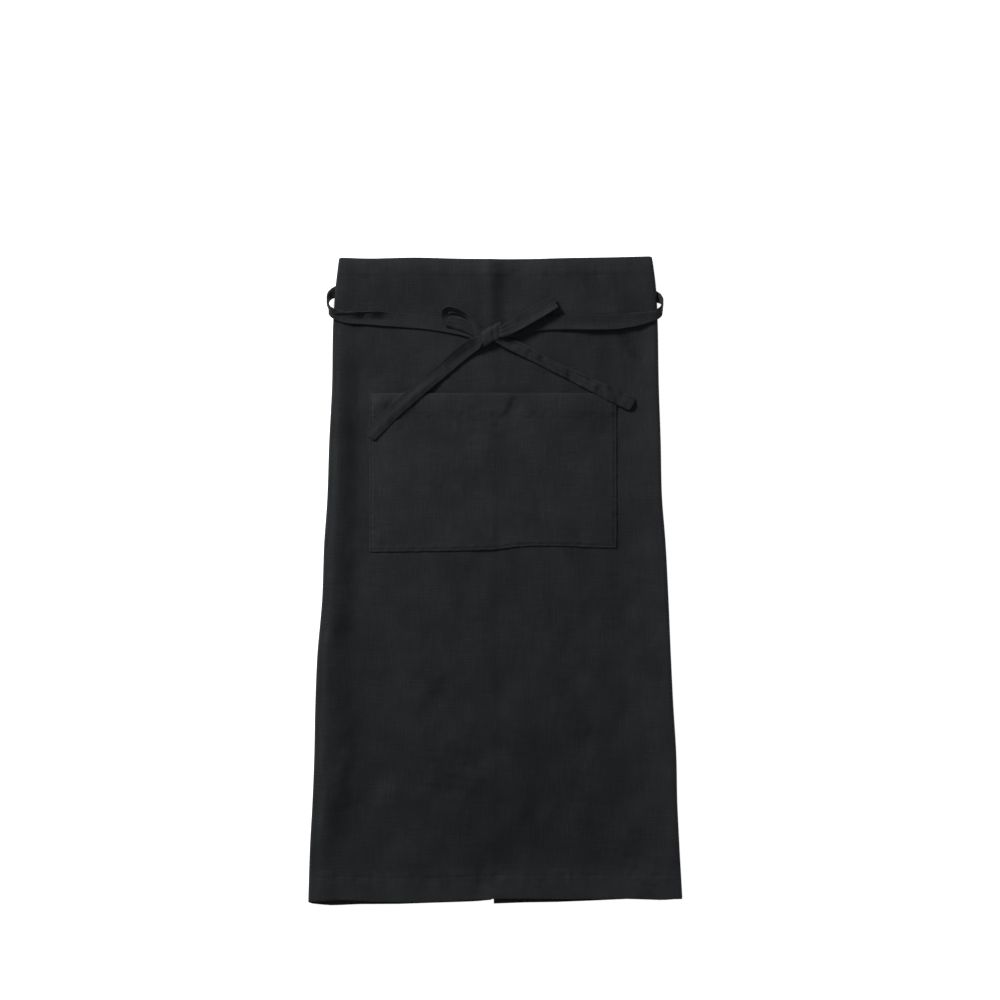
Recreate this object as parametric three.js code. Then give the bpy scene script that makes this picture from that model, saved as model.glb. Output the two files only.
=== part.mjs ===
// A long waist apron of black linen, laid flat, its sides folded to the back, tied in a front bow.
// X runs across the apron, Y up its length from the top edge, Z up from the surface it lies on.
import * as THREE from "three";

// Driving dimensions of the main cloth, in millimetres
const apronLength = 768;
const waistWidth = 376;
const hemWidth = 450;
const clothWall = 1.2;
const hemWall = 1.6;
const topHem = 19;
const bottomHem = 30;
const hollow = 2;
const foldReach = 4.5;
const rollWidth = 15;
const rollLift = 1.3;
const valleyDepth = 1;
const slitWidth = 3;
const slitAside = -3.6;
const topWave = 3.2;
const hemWave = 8;
const dentDepth = 1;
const backTuck = 1.5;

// Driving dimensions of the patch pocket
const pocketWidth = 297;
const pocketHeight = 186;
const pocketDown = 161;
const pocketAside = -3;
const pocketWall = 1;
const pocketHem = 27;
const pocketHemWall = 1.3;
const pocketLoft = 0.9;
const pocketSlant = 5;

// Driving dimensions of the ties and the bow
const tieWidth = 17;
const tieWall = 1.2;
const tieSeamIn = 20;
const leftSeamDown = 11;
const seamSpace = 4;
const rightSeamDown = leftSeamDown + tieWidth + seamSpace;
const sideReach = 6.5;
const leftTurn = { backDown: 40, frontDown: 71 };
const rightTurn = { backDown: 45, frontDown: 71 };
const bowDown = 93;
const bowAside = -8;
const knotTurn = 6;
const knotLength = 17;
const knotSwell = 0.8;
const knotGather = 0.66;
const knotRoom = 0.155;
const knotMouth = 3;
const leftLoop = { reach: 52, rise: 30 };
const rightLoop = { reach: 80, rise: 41 };
const leftTail = { reach: 144, drop: 120 };
const rightTail = { reach: 173, drop: 82 };

// Air left between pieces that lie on each other, and below the ties at the back
const clearance = 0.4;
const underTies = 0.1;

// Length over which a hem's turned layer ends, as a share of the piece that it is on
const hemStep = 0.002;
const pocketHemStep = 0.01;

const linen = { color: 0x2a2b2e, roughness: 0.92, metalness: 0 };
const pocketLinen = { color: 0x2b2c2f, roughness: 0.92, metalness: 0 };
const tieLinen = { color: 0x2c2d31, roughness: 0.9, metalness: 0 };

const { clamp, lerp, smoothstep, degToRad } = THREE.MathUtils;

// Outline of the front: the share of the flare that each side has, down the length
const flare = [
  { down: 0, left: 0, right: 0 },
  { down: 0.045, left: 0.11, right: 0.12 },
  { down: 0.1, left: 0.19, right: 0.18 },
  { down: 0.2, left: 0.23, right: 0.22 },
  { down: 0.285, left: 0.32, right: 0.28 },
  { down: 0.38, left: 0.39, right: 0.33 },
  { down: 0.44, left: 0.48, right: 0.43 },
  { down: 0.53, left: 0.55, right: 0.53 },
  { down: 0.62, left: 0.71, right: 0.61 },
  { down: 0.69, left: 0.77, right: 0.68 },
  { down: 0.78, left: 0.81, right: 0.79 },
  { down: 0.85, left: 0.87, right: 0.82 },
  { down: 0.91, left: 0.94, right: 0.88 },
  { down: 1, left: 1, right: 0.985 },
];

// Top edge: its rise as a share of topWave
const topEdge = [
  { across: -1, rise: 0.5 },
  { across: -0.8, rise: 0.2 },
  { across: -0.5, rise: 0.55 },
  { across: -0.25, rise: 0.15 },
  { across: 0, rise: 0 },
  { across: 0.2, rise: 0.05 },
  { across: 0.5, rise: 0.4 },
  { across: 0.75, rise: 0.65 },
  { across: 1, rise: 1 },
];

// Hems of the front and of the two back flaps: their drop as a share of hemWave
const frontHem = [
  { across: -1, drop: 0.42 },
  { across: -0.88, drop: 0.2 },
  { across: -0.6, drop: 0.42 },
  { across: -0.35, drop: 0.42 },
  { across: -0.2, drop: 0.22 },
  { across: 0, drop: 0 },
  { across: 0.3, drop: -0.05 },
  { across: 0.65, drop: 0 },
  { across: 1, drop: 0 },
];
const leftFlapHem = [
  { across: -1, drop: 0.72 },
  { across: -0.9, drop: 1 },
  { across: -0.7, drop: 0.85 },
  { across: -0.48, drop: 0.81 },
  { across: -0.35, drop: 0.67 },
  { across: -0.22, drop: 0.54 },
  { across: -0.1, drop: 0.43 },
  { across: 0, drop: 0.16 },
];
const rightFlapHem = [
  { across: -0.02, drop: 0.8 },
  { across: 0.04, drop: 0.69 },
  { across: 0.2, drop: 0.58 },
  { across: 0.38, drop: 0.5 },
  { across: 0.5, drop: 0.35 },
  { across: 0.63, drop: 0.15 },
  { across: 0.75, drop: 0.06 },
  { across: 0.93, drop: 0.22 },
  { across: 1, drop: 0 },
];

// Valley beside each side fold: its depth as a share of valleyDepth
const valleys = [
  { down: 0, left: 0.2, right: 0.2 },
  { down: 0.12, left: 0.4, right: 0.6 },
  { down: 0.22, left: 1, right: 0.4 },
  { down: 0.65, left: 1, right: 0.35 },
  { down: 0.8, left: 0.5, right: 0.5 },
  { down: 1, left: 0.3, right: 0.3 },
];

// Dents and swells of the front: places and radii as shares of its half width and length
const dents = [
  { at: "valley over the slit", across: 0.03, down: 0.055, wide: 0.055, tall: 0.075, turn: 0, swell: -1 },
  { at: "beside that valley", across: -0.09, down: 0.03, wide: 0.07, tall: 0.03, turn: 0, swell: 0.55 },
  { at: "crease on the right", across: 0.84, down: 0.14, wide: 0.05, tall: 0.05, turn: 30, swell: -0.6 },
  { at: "below the pocket", across: 0.15, down: 0.56, wide: 0.3, tall: 0.05, turn: 5, swell: -0.45 },
  { at: "low on the right", across: 0.2, down: 0.89, wide: 0.2, tall: 0.07, turn: -10, swell: -0.8 },
  { at: "low in the middle", across: 0.1, down: 0.84, wide: 0.09, tall: 0.03, turn: 0, swell: 0.6 },
  { at: "low on the left", across: -0.6, down: 0.9, wide: 0.3, tall: 0.08, turn: 25, swell: -0.5 },
  { at: "lower left", across: -0.35, down: 0.75, wide: 0.25, tall: 0.12, turn: -15, swell: 0.5 },
  { at: "lower right", across: 0.55, down: 0.72, wide: 0.25, tall: 0.12, turn: 15, swell: 0.45 },
];

// One column of a table, read between its rows
function read(table, key, at, column) {
  let next = 1;
  while (next < table.length - 1 && at > table[next][key]) next += 1;
  const from = table[next - 1];
  const to = table[next];
  const share = clamp((at - from[key]) / (to[key] - from[key]), 0, 1);
  return lerp(from[column], to[column], share);
}

function halfWidth(side, down) {
  const share = read(flare, "down", down, side < 0 ? "left" : "right");
  return (waistWidth + (hemWidth - waistWidth) * share) / 2;
}

// Lower face of the back flaps: at the waist they lie on the ties, below that on the surface
const tieStep = tieWall + clearance;
const bandFoot = Math.max(leftTurn.backDown, rightTurn.backDown) + tieWidth;
const bandRamp = 2.4 * tieWidth;

function flapBottom(down) {
  const rise = 2 * underTies + tieStep;
  return rise * (1 - smoothstep(down * apronLength, bandFoot, bandFoot + bandRamp));
}

function clothAt(down) {
  const hemmed = down * apronLength <= topHem || (1 - down) * apronLength <= bottomHem;
  return hemmed ? hemWall : clothWall;
}

// Upper face of the front, at a share of its half width and of its length
function frontTop(across, down) {
  const side = across < 0 ? "left" : "right";
  const half = halfWidth(across, down);
  const fromFold = half * (1 - Math.abs(across)) - foldReach;
  const roll = Math.exp(-((fromFold / (0.5 * rollWidth)) ** 2));
  const valley = Math.exp(-(((fromFold - rollWidth) / (0.6 * rollWidth)) ** 2));
  let height = flapBottom(down) + 2 * clothWall + hollow + rollLift * roll;
  height -= valleyDepth * read(valleys, "down", down, side) * valley;
  for (const dent of dents) {
    const turn = degToRad(dent.turn);
    const right = (across - dent.across) * half;
    const up = (dent.down - down) * apronLength;
    const u = (right * Math.cos(turn) + up * Math.sin(turn)) / (dent.wide * half);
    const v = (up * Math.cos(turn) - right * Math.sin(turn)) / (dent.tall * apronLength);
    height += dentDepth * dent.swell * Math.exp(-(u * u) - v * v);
  }
  return height;
}

// Closed body from corners and faces, with its faces turned outwards
function solid(name, corners, faces, look) {
  let volume = 0;
  for (const [a, b, c] of faces) {
    volume += corners[a].dot(corners[b].clone().cross(corners[c]));
  }
  const geometry = new THREE.BufferGeometry().setFromPoints(corners);
  geometry.setIndex(faces.flatMap(([a, b, c]) => (volume > 0 ? [a, b, c] : [a, c, b])));
  geometry.computeVertexNormals();
  const mesh = new THREE.Mesh(geometry, new THREE.MeshStandardMaterial(look));
  mesh.name = name;
  return mesh;
}

// Wall between two grids of points; a ring's last row joins its first
function wall(name, outer, inner, look, ring = false) {
  const rows = outer.length;
  const end = outer[0].length - 1;
  const corners = [...outer.flat(), ...inner.flat()];
  const out = (row, column) => (row % rows) * (end + 1) + column;
  const within = (row, column) => out(row, column) + rows * (end + 1);
  const faces = [];
  const quad = (a, b, c, d) => faces.push([a, b, c], [a, c, d]);
  for (let r = 0; r < (ring ? rows : rows - 1); r += 1) {
    for (let c = 0; c < end; c += 1) {
      quad(out(r, c), out(r, c + 1), out(r + 1, c + 1), out(r + 1, c));
      quad(within(r, c), within(r + 1, c), within(r + 1, c + 1), within(r, c + 1));
    }
    quad(out(r, 0), out(r + 1, 0), within(r + 1, 0), within(r, 0));
    quad(out(r, end), within(r, end), within(r + 1, end), out(r + 1, end));
  }
  for (let c = 0; c < end && !ring; c += 1) {
    const last = rows - 1;
    quad(out(0, c), within(0, c), within(0, c + 1), out(0, c + 1));
    quad(out(last, c), out(last, c + 1), within(last, c + 1), within(last, c));
  }
  return solid(name, corners, faces, look);
}

// Stations across the main cloth, from the left flap's edge round to the right flap's edge
const foldTurns = 5;
const rollStations = [0.5, 1, 1.6, 2.4];
const leftStations = [
  ...[0, 0.3, 0.65].map((share) => ({ part: "flap", share })),
  ...Array.from({ length: foldTurns + 1 }, (_, i) => ({ part: "fold", over: i / foldTurns })),
  ...rollStations.map((roll) => ({ part: "roll", roll })),
];
const middleStations = [
  -0.74, -0.56, -0.38, -0.22, -0.1, -0.04, 0.03, 0.1, 0.2, 0.32, 0.46, 0.6, 0.74,
];
const stations = [
  ...leftStations.map((station) => ({ ...station, side: -1 })),
  ...middleStations.map((across) => ({ part: "middle", across })),
  ...leftStations.map((station) => ({ ...station, side: 1 })).reverse(),
];

// Outer and inner point of the cloth at a station, at a share of the length
function clothPoints(station, down) {
  const side = station.side ?? Math.sign(station.across);
  const half = halfWidth(side, down);
  const thick = clothAt(down);
  const low = flapBottom(down);
  const foldStart = half - foldReach;
  let x = 0;
  let xIn = 0;
  let z = low;
  let zIn = low + thick;
  let over = 0;
  if (station.part === "flap") {
    x = lerp(slitAside + (side * slitWidth) / 2, side * foldStart, station.share);
    xIn = x;
  } else if (station.part === "fold") {
    over = station.over;
    const middle = (low + frontTop((side * foldStart) / half, down)) / 2;
    x = side * (foldStart + foldReach * Math.sin(Math.PI * over));
    xIn = side * (foldStart + (foldReach - clothWall) * Math.sin(Math.PI * over));
    z = middle - (middle - low) * Math.cos(Math.PI * over);
    zIn = middle - (middle - low - thick) * Math.cos(Math.PI * over);
  } else {
    over = 1;
    x = station.part === "roll" ? side * (foldStart - station.roll * rollWidth) : station.across * half;
    xIn = x;
    z = frontTop(x / half, down);
    zIn = z - thick;
  }
  const across = x / half;
  const flapDrop = read(side < 0 ? leftFlapHem : rightFlapHem, "across", across, "drop");
  const drop = lerp(flapDrop, read(frontHem, "across", across, "drop"), over);
  const top = topWave * read(topEdge, "across", across, "rise") - backTuck * (1 - over);
  const y = lerp(top, -apronLength - hemWave * drop, down);
  return { out: new THREE.Vector3(x, y, z), within: new THREE.Vector3(xIn, y, zIn) };
}

function makePanel() {
  const topSeam = topHem / apronLength;
  const bottomSeam = 1 - bottomHem / apronLength;
  const body = [
    0.05, 0.075, 0.1, 0.125, 0.155, 0.2, 0.26, 0.33, 0.41, 0.49,
    0.55, 0.61, 0.67, 0.73, 0.79, 0.84, 0.89, 0.93,
  ];
  const downs = [0, topSeam, topSeam + hemStep, ...body, bottomSeam - hemStep, bottomSeam, 1];
  const rows = downs.map((down) => stations.map((station) => clothPoints(station, down)));
  const outer = rows.map((row) => row.map((point) => point.out));
  const inner = rows.map((row) => row.map((point) => point.within));
  return wall("apron_panel", outer, inner, linen);
}

// Upper face of the front at a place, and that of the pocket where it covers the front
function frontAt(x, y) {
  const down = clamp(-y / apronLength, 0, 1);
  return frontTop(clamp(x / halfWidth(x, down), -1, 1), down);
}

// Foot of the pocket: its drop as a share of pocketSlant
const pocketFoot = [
  { across: -1, drop: 1 },
  { across: -0.2, drop: 0.6 },
  { across: 0.14, drop: -0.1 },
  { across: 1, drop: 0 },
];

function pocketBottom(x, y, across, down) {
  const loft = (1 - across ** 4) * (1 - (2 * down - 1) ** 4);
  return frontAt(x, y) + clearance + pocketLoft * loft;
}

function makePocket() {
  const acrosses = [-1, -0.85, -0.65, -0.42, -0.2, 0, 0.2, 0.42, 0.65, 0.85, 1];
  const hemShare = pocketHem / pocketHeight;
  const downs = [0, hemShare, hemShare + pocketHemStep, 0.32, 0.5, 0.68, 0.85, 1];
  const outer = [];
  const inner = [];
  for (const down of downs) {
    const thick = down <= hemShare ? pocketHemWall : pocketWall;
    const places = acrosses.map((across) => {
      const x = pocketAside + (across * pocketWidth) / 2;
      const foot = pocketSlant * read(pocketFoot, "across", across, "drop");
      const y = -pocketDown - (pocketHeight + foot) * down;
      return new THREE.Vector3(x, y, pocketBottom(x, y, across, down));
    });
    inner.push(places);
    outer.push(places.map((place) => place.clone().setZ(place.z + thick)));
  }
  return wall("pocket", outer, inner, pocketLinen);
}

// Height at which something that lies on the front rests, raised before it reaches the pocket
function restHeight(x, y) {
  const reach = tieWidth / 2;
  const spots = [[0, 0], [reach, 0], [-reach, 0], [0, reach], [0, -reach]];
  const under = Math.max(...spots.map(([right, up]) => frontAt(x + right, y + up)));
  const fromSide = pocketWidth / 2 - Math.abs(x - pocketAside);
  const fromTop = -pocketDown - y;
  const inside = Math.min(fromSide, fromTop);
  const pocketRise = clearance + pocketLoft + pocketHemWall;
  return under + clearance + pocketRise * smoothstep(inside, -3 * tieWidth / 2, -tieWidth / 2);
}

// Strap through rows that give its middle, the run and rise of its width, and its width and wall
function strap(name, rows) {
  const longest = 9;
  const path = new THREE.CatmullRomCurve3(rows.map((row) => row.place), false, "centripetal");
  const outer = [];
  const inner = [];
  const last = rows.length - 1;
  for (let i = 0; i < last; i += 1) {
    const steps = Math.max(2, Math.ceil(rows[i].place.distanceTo(rows[i + 1].place) / longest));
    for (let step = 0; step < steps + (i === last - 1); step += 1) {
      const share = step / steps;
      const mix = (column) => lerp(rows[i][column], rows[i + 1][column], share);
      const place = path.getPoint((i + share) / last);
      const tangent = path.getTangent((i + share) / last);
      const run = degToRad(mix("run"));
      const rise = degToRad(mix("rise"));
      const breadth = new THREE.Vector3(Math.cos(run), Math.sin(run), 0).multiplyScalar(Math.cos(rise));
      breadth.z = Math.sin(rise);
      breadth.addScaledVector(tangent, -breadth.dot(tangent)).normalize();
      const up = tangent.clone().cross(breadth);
      const half = (tieWidth * mix("width")) / 2;
      const thick = (tieWall * mix("wall")) / 2;
      const edge = (side, lift) =>
        place.clone().addScaledVector(breadth, side * half).addScaledVector(up, lift);
      outer.push([edge(-1, thick), edge(1, thick)]);
      inner.push([edge(-1, -thick), edge(1, -thick)]);
    }
  }
  return wall(name, outer, inner, tieLinen);
}

// Turn of a tie round a side fold, doubled on edge where it stands off the fold: out is a share
// of sideReach, down of the way from backDown to frontDown, height of the way up to the front
const sideTurn = [
  { out: -2, down: 0, height: 0, rise: 0, width: 1, wall: 1 },
  { out: -0.35, down: 0.04, height: 0.035, rise: -0.5, width: 0.8, wall: 1 },
  { out: 0.5, down: 0.14, height: 0.32, rise: 0, width: 0.64, wall: 1.2 },
  { out: 0.78, down: 0.28, height: 0.6, rise: 15, width: 0.6, wall: 1.7 },
  { out: 1, down: 0.5, height: 0.78, rise: 55, width: 0.52, wall: 2 },
  { out: 0.85, down: 0.7, height: 1, rise: 45, width: 0.56, wall: 1.9 },
  { out: 0.35, down: 0.84, height: 1.2, rise: 12, width: 0.7, wall: 1.4 },
  { out: -0.7, down: 0.95, height: 1.15, rise: 0, width: 0.9, wall: 1 },
];

// Runs of the ties over the front: along from the fold to the knot, down from the fold to the bow
const leftRun = [
  { along: 0.09, down: 0.02, lift: 0.2, rise: 0 },
  { along: 0.22, down: 0.1, lift: 0.12, rise: -2 },
  { along: 0.43, down: 0.2, lift: 0.15, rise: 0 },
  { along: 0.57, down: 0.32, lift: 0.1, rise: 0 },
  { along: 0.74, down: 0.54, lift: 0.15, rise: 0 },
  { along: 0.86, down: 0.78, lift: 0.4, rise: 0 },
];
const rightRun = [
  { along: 0.09, down: 0.02, lift: 0.2, rise: 0 },
  { along: 0.17, down: 0.14, lift: 0.05, rise: -6 },
  { along: 0.25, down: 0.24, lift: 0.1, rise: -12 },
  { along: 0.39, down: 0.27, lift: 0.1, rise: -13 },
  { along: 0.55, down: 0.25, lift: 0.15, rise: -7 },
  { along: 0.7, down: 0.32, lift: 0.25, rise: 0 },
  { along: 0.85, down: 0.64, lift: 0.3, rise: 0 },
];

// Loops and tails from the knot outwards: out and off are shares of their reach and rise or drop
const leftLoopRows = [
  { out: 0.34, off: 0.06, lift: 2.7, run: 84, rise: 0, width: 0.68 },
  { out: 0.5, off: 0.2, lift: 2.6, run: 74, rise: -9, width: 0.8 },
  { out: 0.7, off: 0.28, lift: 1.25, run: 66, rise: -50, width: 1 },
  { out: 0.89, off: 0.5, lift: 0.85, run: 66, rise: -64, width: 1 },
  { out: 1, off: 0.76, lift: 0.75, run: 90, rise: -66, width: 1 },
  { out: 0.91, off: 1, lift: 0.65, run: 100, rise: -64, width: 1 },
  { out: 0.72, off: 1.02, lift: 0.8, run: 80, rise: -56, width: 1 },
  { out: 0.52, off: 0.8, lift: 1.2, run: 52, rise: -44, width: 1 },
  { out: 0.38, off: 0.48, lift: 2.35, run: 45, rise: -15, width: 0.82 },
  { out: 0.3, off: 0.2, lift: 3.05, run: 62, rise: 0, width: 0.66 },
];
const rightLoopRows = [
  { out: 0.24, off: 0.15, lift: 3.2, run: 106, rise: -4, width: 0.76 },
  { out: 0.48, off: 0.41, lift: 1.05, run: 119, rise: -16, width: 1 },
  { out: 0.76, off: 0.72, lift: 0.35, run: 119, rise: -18, width: 1 },
  { out: 0.93, off: 0.91, lift: 0.55, run: 119, rise: -18, width: 1 },
  { out: 1, off: 1, lift: 1.7, run: 119, rise: -18, width: 0.96 },
  { out: 0.93, off: 0.92, lift: 2.65, run: 119, rise: -18, width: 1 },
  { out: 0.76, off: 0.73, lift: 3.05, run: 119, rise: -17, width: 1 },
  { out: 0.48, off: 0.42, lift: 3.2, run: 119, rise: -14, width: 1 },
  { out: 0.24, off: 0.16, lift: 3.85, run: 106, rise: -5, width: 0.8 },
];
const leftTailRows = [
  { out: 0.12, off: 0.06, lift: 4.95, run: 106, rise: 0, width: 0.7 },
  { out: 0.19, off: 0.135, lift: 4.2, run: 124, rise: 0, width: 0.9 },
  { out: 0.275, off: 0.215, lift: 2.8, run: 129, rise: 0, width: 1 },
  { out: 0.35, off: 0.305, lift: 1.5, run: 129, rise: 0, width: 1 },
  { out: 0.55, off: 0.5, lift: 0.3, run: 130, rise: 0, width: 1 },
  { out: 0.785, off: 0.745, lift: 0, run: 131, rise: 0, width: 1 },
  { out: 0.965, off: 0.96, lift: 0, run: 132, rise: 0, width: 1 },
  { out: 1, off: 1, lift: 0, run: 132, rise: 0, width: 0.72 },
];
const rightTailRows = [
  { out: 0.115, off: 0.05, lift: 2.15, run: 78, rise: 0, width: 0.74 },
  { out: 0.2, off: 0.15, lift: 1.8, run: 64, rise: 0, width: 0.95 },
  { out: 0.29, off: 0.265, lift: 0.9, run: 62, rise: 0, width: 1 },
  { out: 0.445, off: 0.445, lift: 0.5, run: 63, rise: 0, width: 1 },
  { out: 0.64, off: 0.645, lift: 0.2, run: 64, rise: 0, width: 1 },
  { out: 0.81, off: 0.81, lift: 0, run: 65, rise: 0, width: 1 },
  { out: 0.965, off: 0.965, lift: 0, run: 65, rise: 0, width: 1 },
  { out: 1, off: 1, lift: 0, run: 65, rise: 0, width: 0.72 },
];

// Middle of the bow, and the height of its lowest layer
const bow = new THREE.Vector3(bowAside, -bowDown, restHeight(bowAside, -bowDown) + tieWall / 2);
const knotAlong = new THREE.Vector3(Math.cos(degToRad(knotTurn)), Math.sin(degToRad(knotTurn)), 0);
const layers = 6;

// The gathered end of a strap in the knot, on its own layer, from the knot's mouth to its middle
function knotEnd(side, layer) {
  const mouth = knotLength / 2 + knotMouth;
  const middleGap = 1;
  const height = new THREE.Vector3(0, 0, layer * tieStep);
  const row = { run: 90 + knotTurn, rise: 0, width: knotGather, wall: 1 };
  return [mouth, middleGap].map((from) => ({
    ...row,
    place: bow.clone().addScaledVector(knotAlong, side * from).add(height),
  }));
}

// Row of a strap that lies over the front: its low edge is lifted by a number of layers
function overFront(x, y, lift, { width = 1, rise = 0, ...row }) {
  const standing = ((tieWidth * width) / 2) * Math.abs(Math.sin(degToRad(rise)));
  const z = restHeight(x, y) + tieWall / 2 + standing + lift * tieStep;
  return { wall: 1, run: 90, ...row, width, rise, place: new THREE.Vector3(x, y, z) };
}

// A tie's run: from its seam on the far back flap, under the near flap, round the fold to the knot
function makeRun(name, side, seamDown, turn, run) {
  const lowest = underTies + tieWall / 2;
  const edge = (down) => side * halfWidth(side, down / apronLength);
  const onSurface = (x, down, row = {}) => ({
    run: 90, rise: 0, width: 1, wall: 1, ...row, place: new THREE.Vector3(x, -down, lowest),
  });
  const seam = slitAside - side * (slitWidth / 2 + tieSeamIn);
  const beyond = slitAside + side * tieSeamIn;
  const rows = [
    onSurface(seam, seamDown),
    onSurface(beyond, seamDown + 1),
    onSurface(lerp(beyond, edge(turn.backDown), 0.5), lerp(seamDown, turn.backDown, 0.45)),
  ];
  for (const { out, down, height, ...row } of sideTurn) {
    const fall = lerp(turn.backDown, turn.frontDown, down);
    const fold = edge(fall);
    const front = restHeight(fold - side * foldReach, -fall);
    const place = new THREE.Vector3(fold + side * out * sideReach, -fall, lowest + height * front);
    rows.push({ ...row, run: 90, place });
  }
  for (const { along, down, lift, rise } of run) {
    const x = lerp(edge(turn.frontDown), bowAside, along);
    rows.push(overFront(x, -lerp(turn.frontDown, bowDown, down), lift, { rise }));
  }
  rows.push(...knotEnd(side, 1));
  return strap(name, rows);
}

// A tail, from the knot's middle to its rounded end
function makeTail(name, side, layer, { reach, drop }, table) {
  const outwards = table.map(({ out, off, lift, ...row }) =>
    overFront(bow.x + side * out * reach, bow.y - off * drop, lift, row));
  return strap(name, [...knotEnd(side, layer).reverse(), ...outwards]);
}

// A loop, from the knot's middle out and back to it one layer higher
function makeLoop(name, side, layer, { reach, rise: climb }, table) {
  const around = table.map(({ out, off, lift, ...row }) =>
    overFront(bow.x + side * out * reach, bow.y + off * climb, lift, row));
  return strap(name, [...knotEnd(side, layer).reverse(), ...around, ...knotEnd(side, layer + 1)]);
}

// The wrap round the middle of the bow: a flattened ring of tie, a little fuller at its middle
function makeKnot() {
  const turns = 20;
  const squareness = 5;
  const halfHeight = ((layers - 1) * tieStep) / 2 + clearance / 2;
  const halfAcross = tieWidth * (knotGather / 2 + knotRoom) + tieWall / 2;
  const across = new THREE.Vector3(-knotAlong.y, knotAlong.x, 0);
  const middle = bow.clone().add(new THREE.Vector3(0, 0, ((layers - 1) * tieStep) / 2));
  const round = (value) => Math.sign(value) * Math.abs(value) ** (2 / squareness);
  const ringPoint = (turn, along, grow) =>
    middle
      .clone()
      .addScaledVector(knotAlong, (along * knotLength) / 2)
      .addScaledVector(across, (halfAcross + grow) * round(Math.cos(turn)))
      .add(new THREE.Vector3(0, 0, (halfHeight + grow) * round(Math.sin(turn))));
  const outer = [];
  const inner = [];
  for (let i = 0; i < turns; i += 1) {
    const turn = (2 * Math.PI * i) / turns;
    outer.push([-1, 0, 1].map((along) => {
      const swell = Math.sin(turn) > -0.5 ? knotSwell * (1 - along ** 2) : 0;
      return ringPoint(turn, along, tieWall / 2 + swell);
    }));
    inner.push([-1, 0, 1].map((along) => ringPoint(turn, along, -tieWall / 2)));
  }
  return wall("bow_knot", outer, inner, tieLinen, true);
}

const apron = new THREE.Group();
apron.add(
  makePanel(),
  makePocket(),
  makeRun("tie_run_left", -1, leftSeamDown, leftTurn, leftRun),
  makeRun("tie_run_right", 1, rightSeamDown, rightTurn, rightRun),
  makeLoop("bow_loop_left", -1, 2, leftLoop, leftLoopRows),
  makeLoop("bow_loop_right", 1, 3, rightLoop, rightLoopRows),
  makeTail("tie_tail_left", -1, 4, leftTail, leftTailRows),
  makeTail("tie_tail_right", 1, 2, rightTail, rightTailRows),
  makeKnot(),
);

// Origin: the middle of the whole apron's box, on the surface that it lies on
const box = new THREE.Box3().setFromObject(apron, true);
const centre = box.getCenter(new THREE.Vector3());
apron.position.set(-centre.x, -centre.y, -box.min.z);

export default apron;
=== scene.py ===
import math

import bmesh
import bpy
import numpy as np
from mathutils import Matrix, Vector


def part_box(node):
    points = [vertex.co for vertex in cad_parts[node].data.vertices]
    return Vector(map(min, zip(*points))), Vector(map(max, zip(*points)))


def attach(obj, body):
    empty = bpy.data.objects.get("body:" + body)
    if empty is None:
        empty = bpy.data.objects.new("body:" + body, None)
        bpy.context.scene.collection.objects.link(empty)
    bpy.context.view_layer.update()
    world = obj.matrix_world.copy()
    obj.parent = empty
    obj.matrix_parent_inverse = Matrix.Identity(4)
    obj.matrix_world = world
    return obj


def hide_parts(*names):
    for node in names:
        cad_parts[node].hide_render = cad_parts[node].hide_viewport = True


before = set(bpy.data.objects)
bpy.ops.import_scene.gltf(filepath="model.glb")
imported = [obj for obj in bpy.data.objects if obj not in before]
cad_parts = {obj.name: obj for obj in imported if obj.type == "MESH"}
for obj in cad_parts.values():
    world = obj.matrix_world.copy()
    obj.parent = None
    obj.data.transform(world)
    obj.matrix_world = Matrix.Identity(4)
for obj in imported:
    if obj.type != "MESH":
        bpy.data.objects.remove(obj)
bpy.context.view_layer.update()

bpy.ops.object.select_all(action="DESELECT")

# Main cloth
# One long piece of black linen. Its two sides are folded softly to the back, where their hemmed edges
# nearly meet, and the waist and foot have turned hems held by a row of stitches.
MM = 0.001
CENTRE_LINE = 0.28
apron_length = 768.0
waist_width = 376.0
hem_width = 450.0
cloth_wall = 1.2
top_hem = 19.0
bottom_hem = 30.0
flap_hem = 12.0
waist_hem_rise = 0.4
foot_hem_rise = 1.3
hollow = 4.0
fold_reach = 4.5
slit_width = 3.0
slit_aside = -3.6
top_wave = 3.2
hem_wave = 8.0
dip_reach = 34.0
right_slope = 54.0
back_tuck = 1.5
tie_rise = 1.8
tie_rise_ends = (62.0, 103.0)
rim_round = 2.4
waist_edge_fall = 1.1
pocket_width = 297.0
pocket_down = 161.0
pocket_aside = -3.0
stitch_inset = 1.8
flap_columns = 30
fold_columns = 13
front_columns = 177
body_row_count = 214
smooth_angle = math.radians(50)
top_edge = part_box("apron_panel")[1].y / MM - 0.97 * top_wave

flare = [
    {"down": 0, "left": 0, "right": 0},
    {"down": 0.045, "left": 0.11, "right": 0.12},
    {"down": 0.1, "left": 0.19, "right": 0.18},
    {"down": 0.2, "left": 0.23, "right": 0.22},
    {"down": 0.285, "left": 0.32, "right": 0.28},
    {"down": 0.38, "left": 0.39, "right": 0.33},
    {"down": 0.44, "left": 0.48, "right": 0.43},
    {"down": 0.53, "left": 0.55, "right": 0.53},
    {"down": 0.62, "left": 0.71, "right": 0.61},
    {"down": 0.69, "left": 0.77, "right": 0.68},
    {"down": 0.78, "left": 0.81, "right": 0.79},
    {"down": 0.85, "left": 0.87, "right": 0.82},
    {"down": 0.91, "left": 0.94, "right": 0.88},
    {"down": 1, "left": 1, "right": 0.985},
]
top_line = [
    {"across": -1, "rise": 0.5},
    {"across": -0.8, "rise": 0.2},
    {"across": -0.5, "rise": 0.55},
    {"across": -0.25, "rise": 0.15},
    {"across": 0, "rise": 0},
    {"across": 0.2, "rise": 0.05},
    {"across": 0.5, "rise": 0.4},
    {"across": 0.75, "rise": 0.65},
    {"across": 1, "rise": 1},
]
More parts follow.
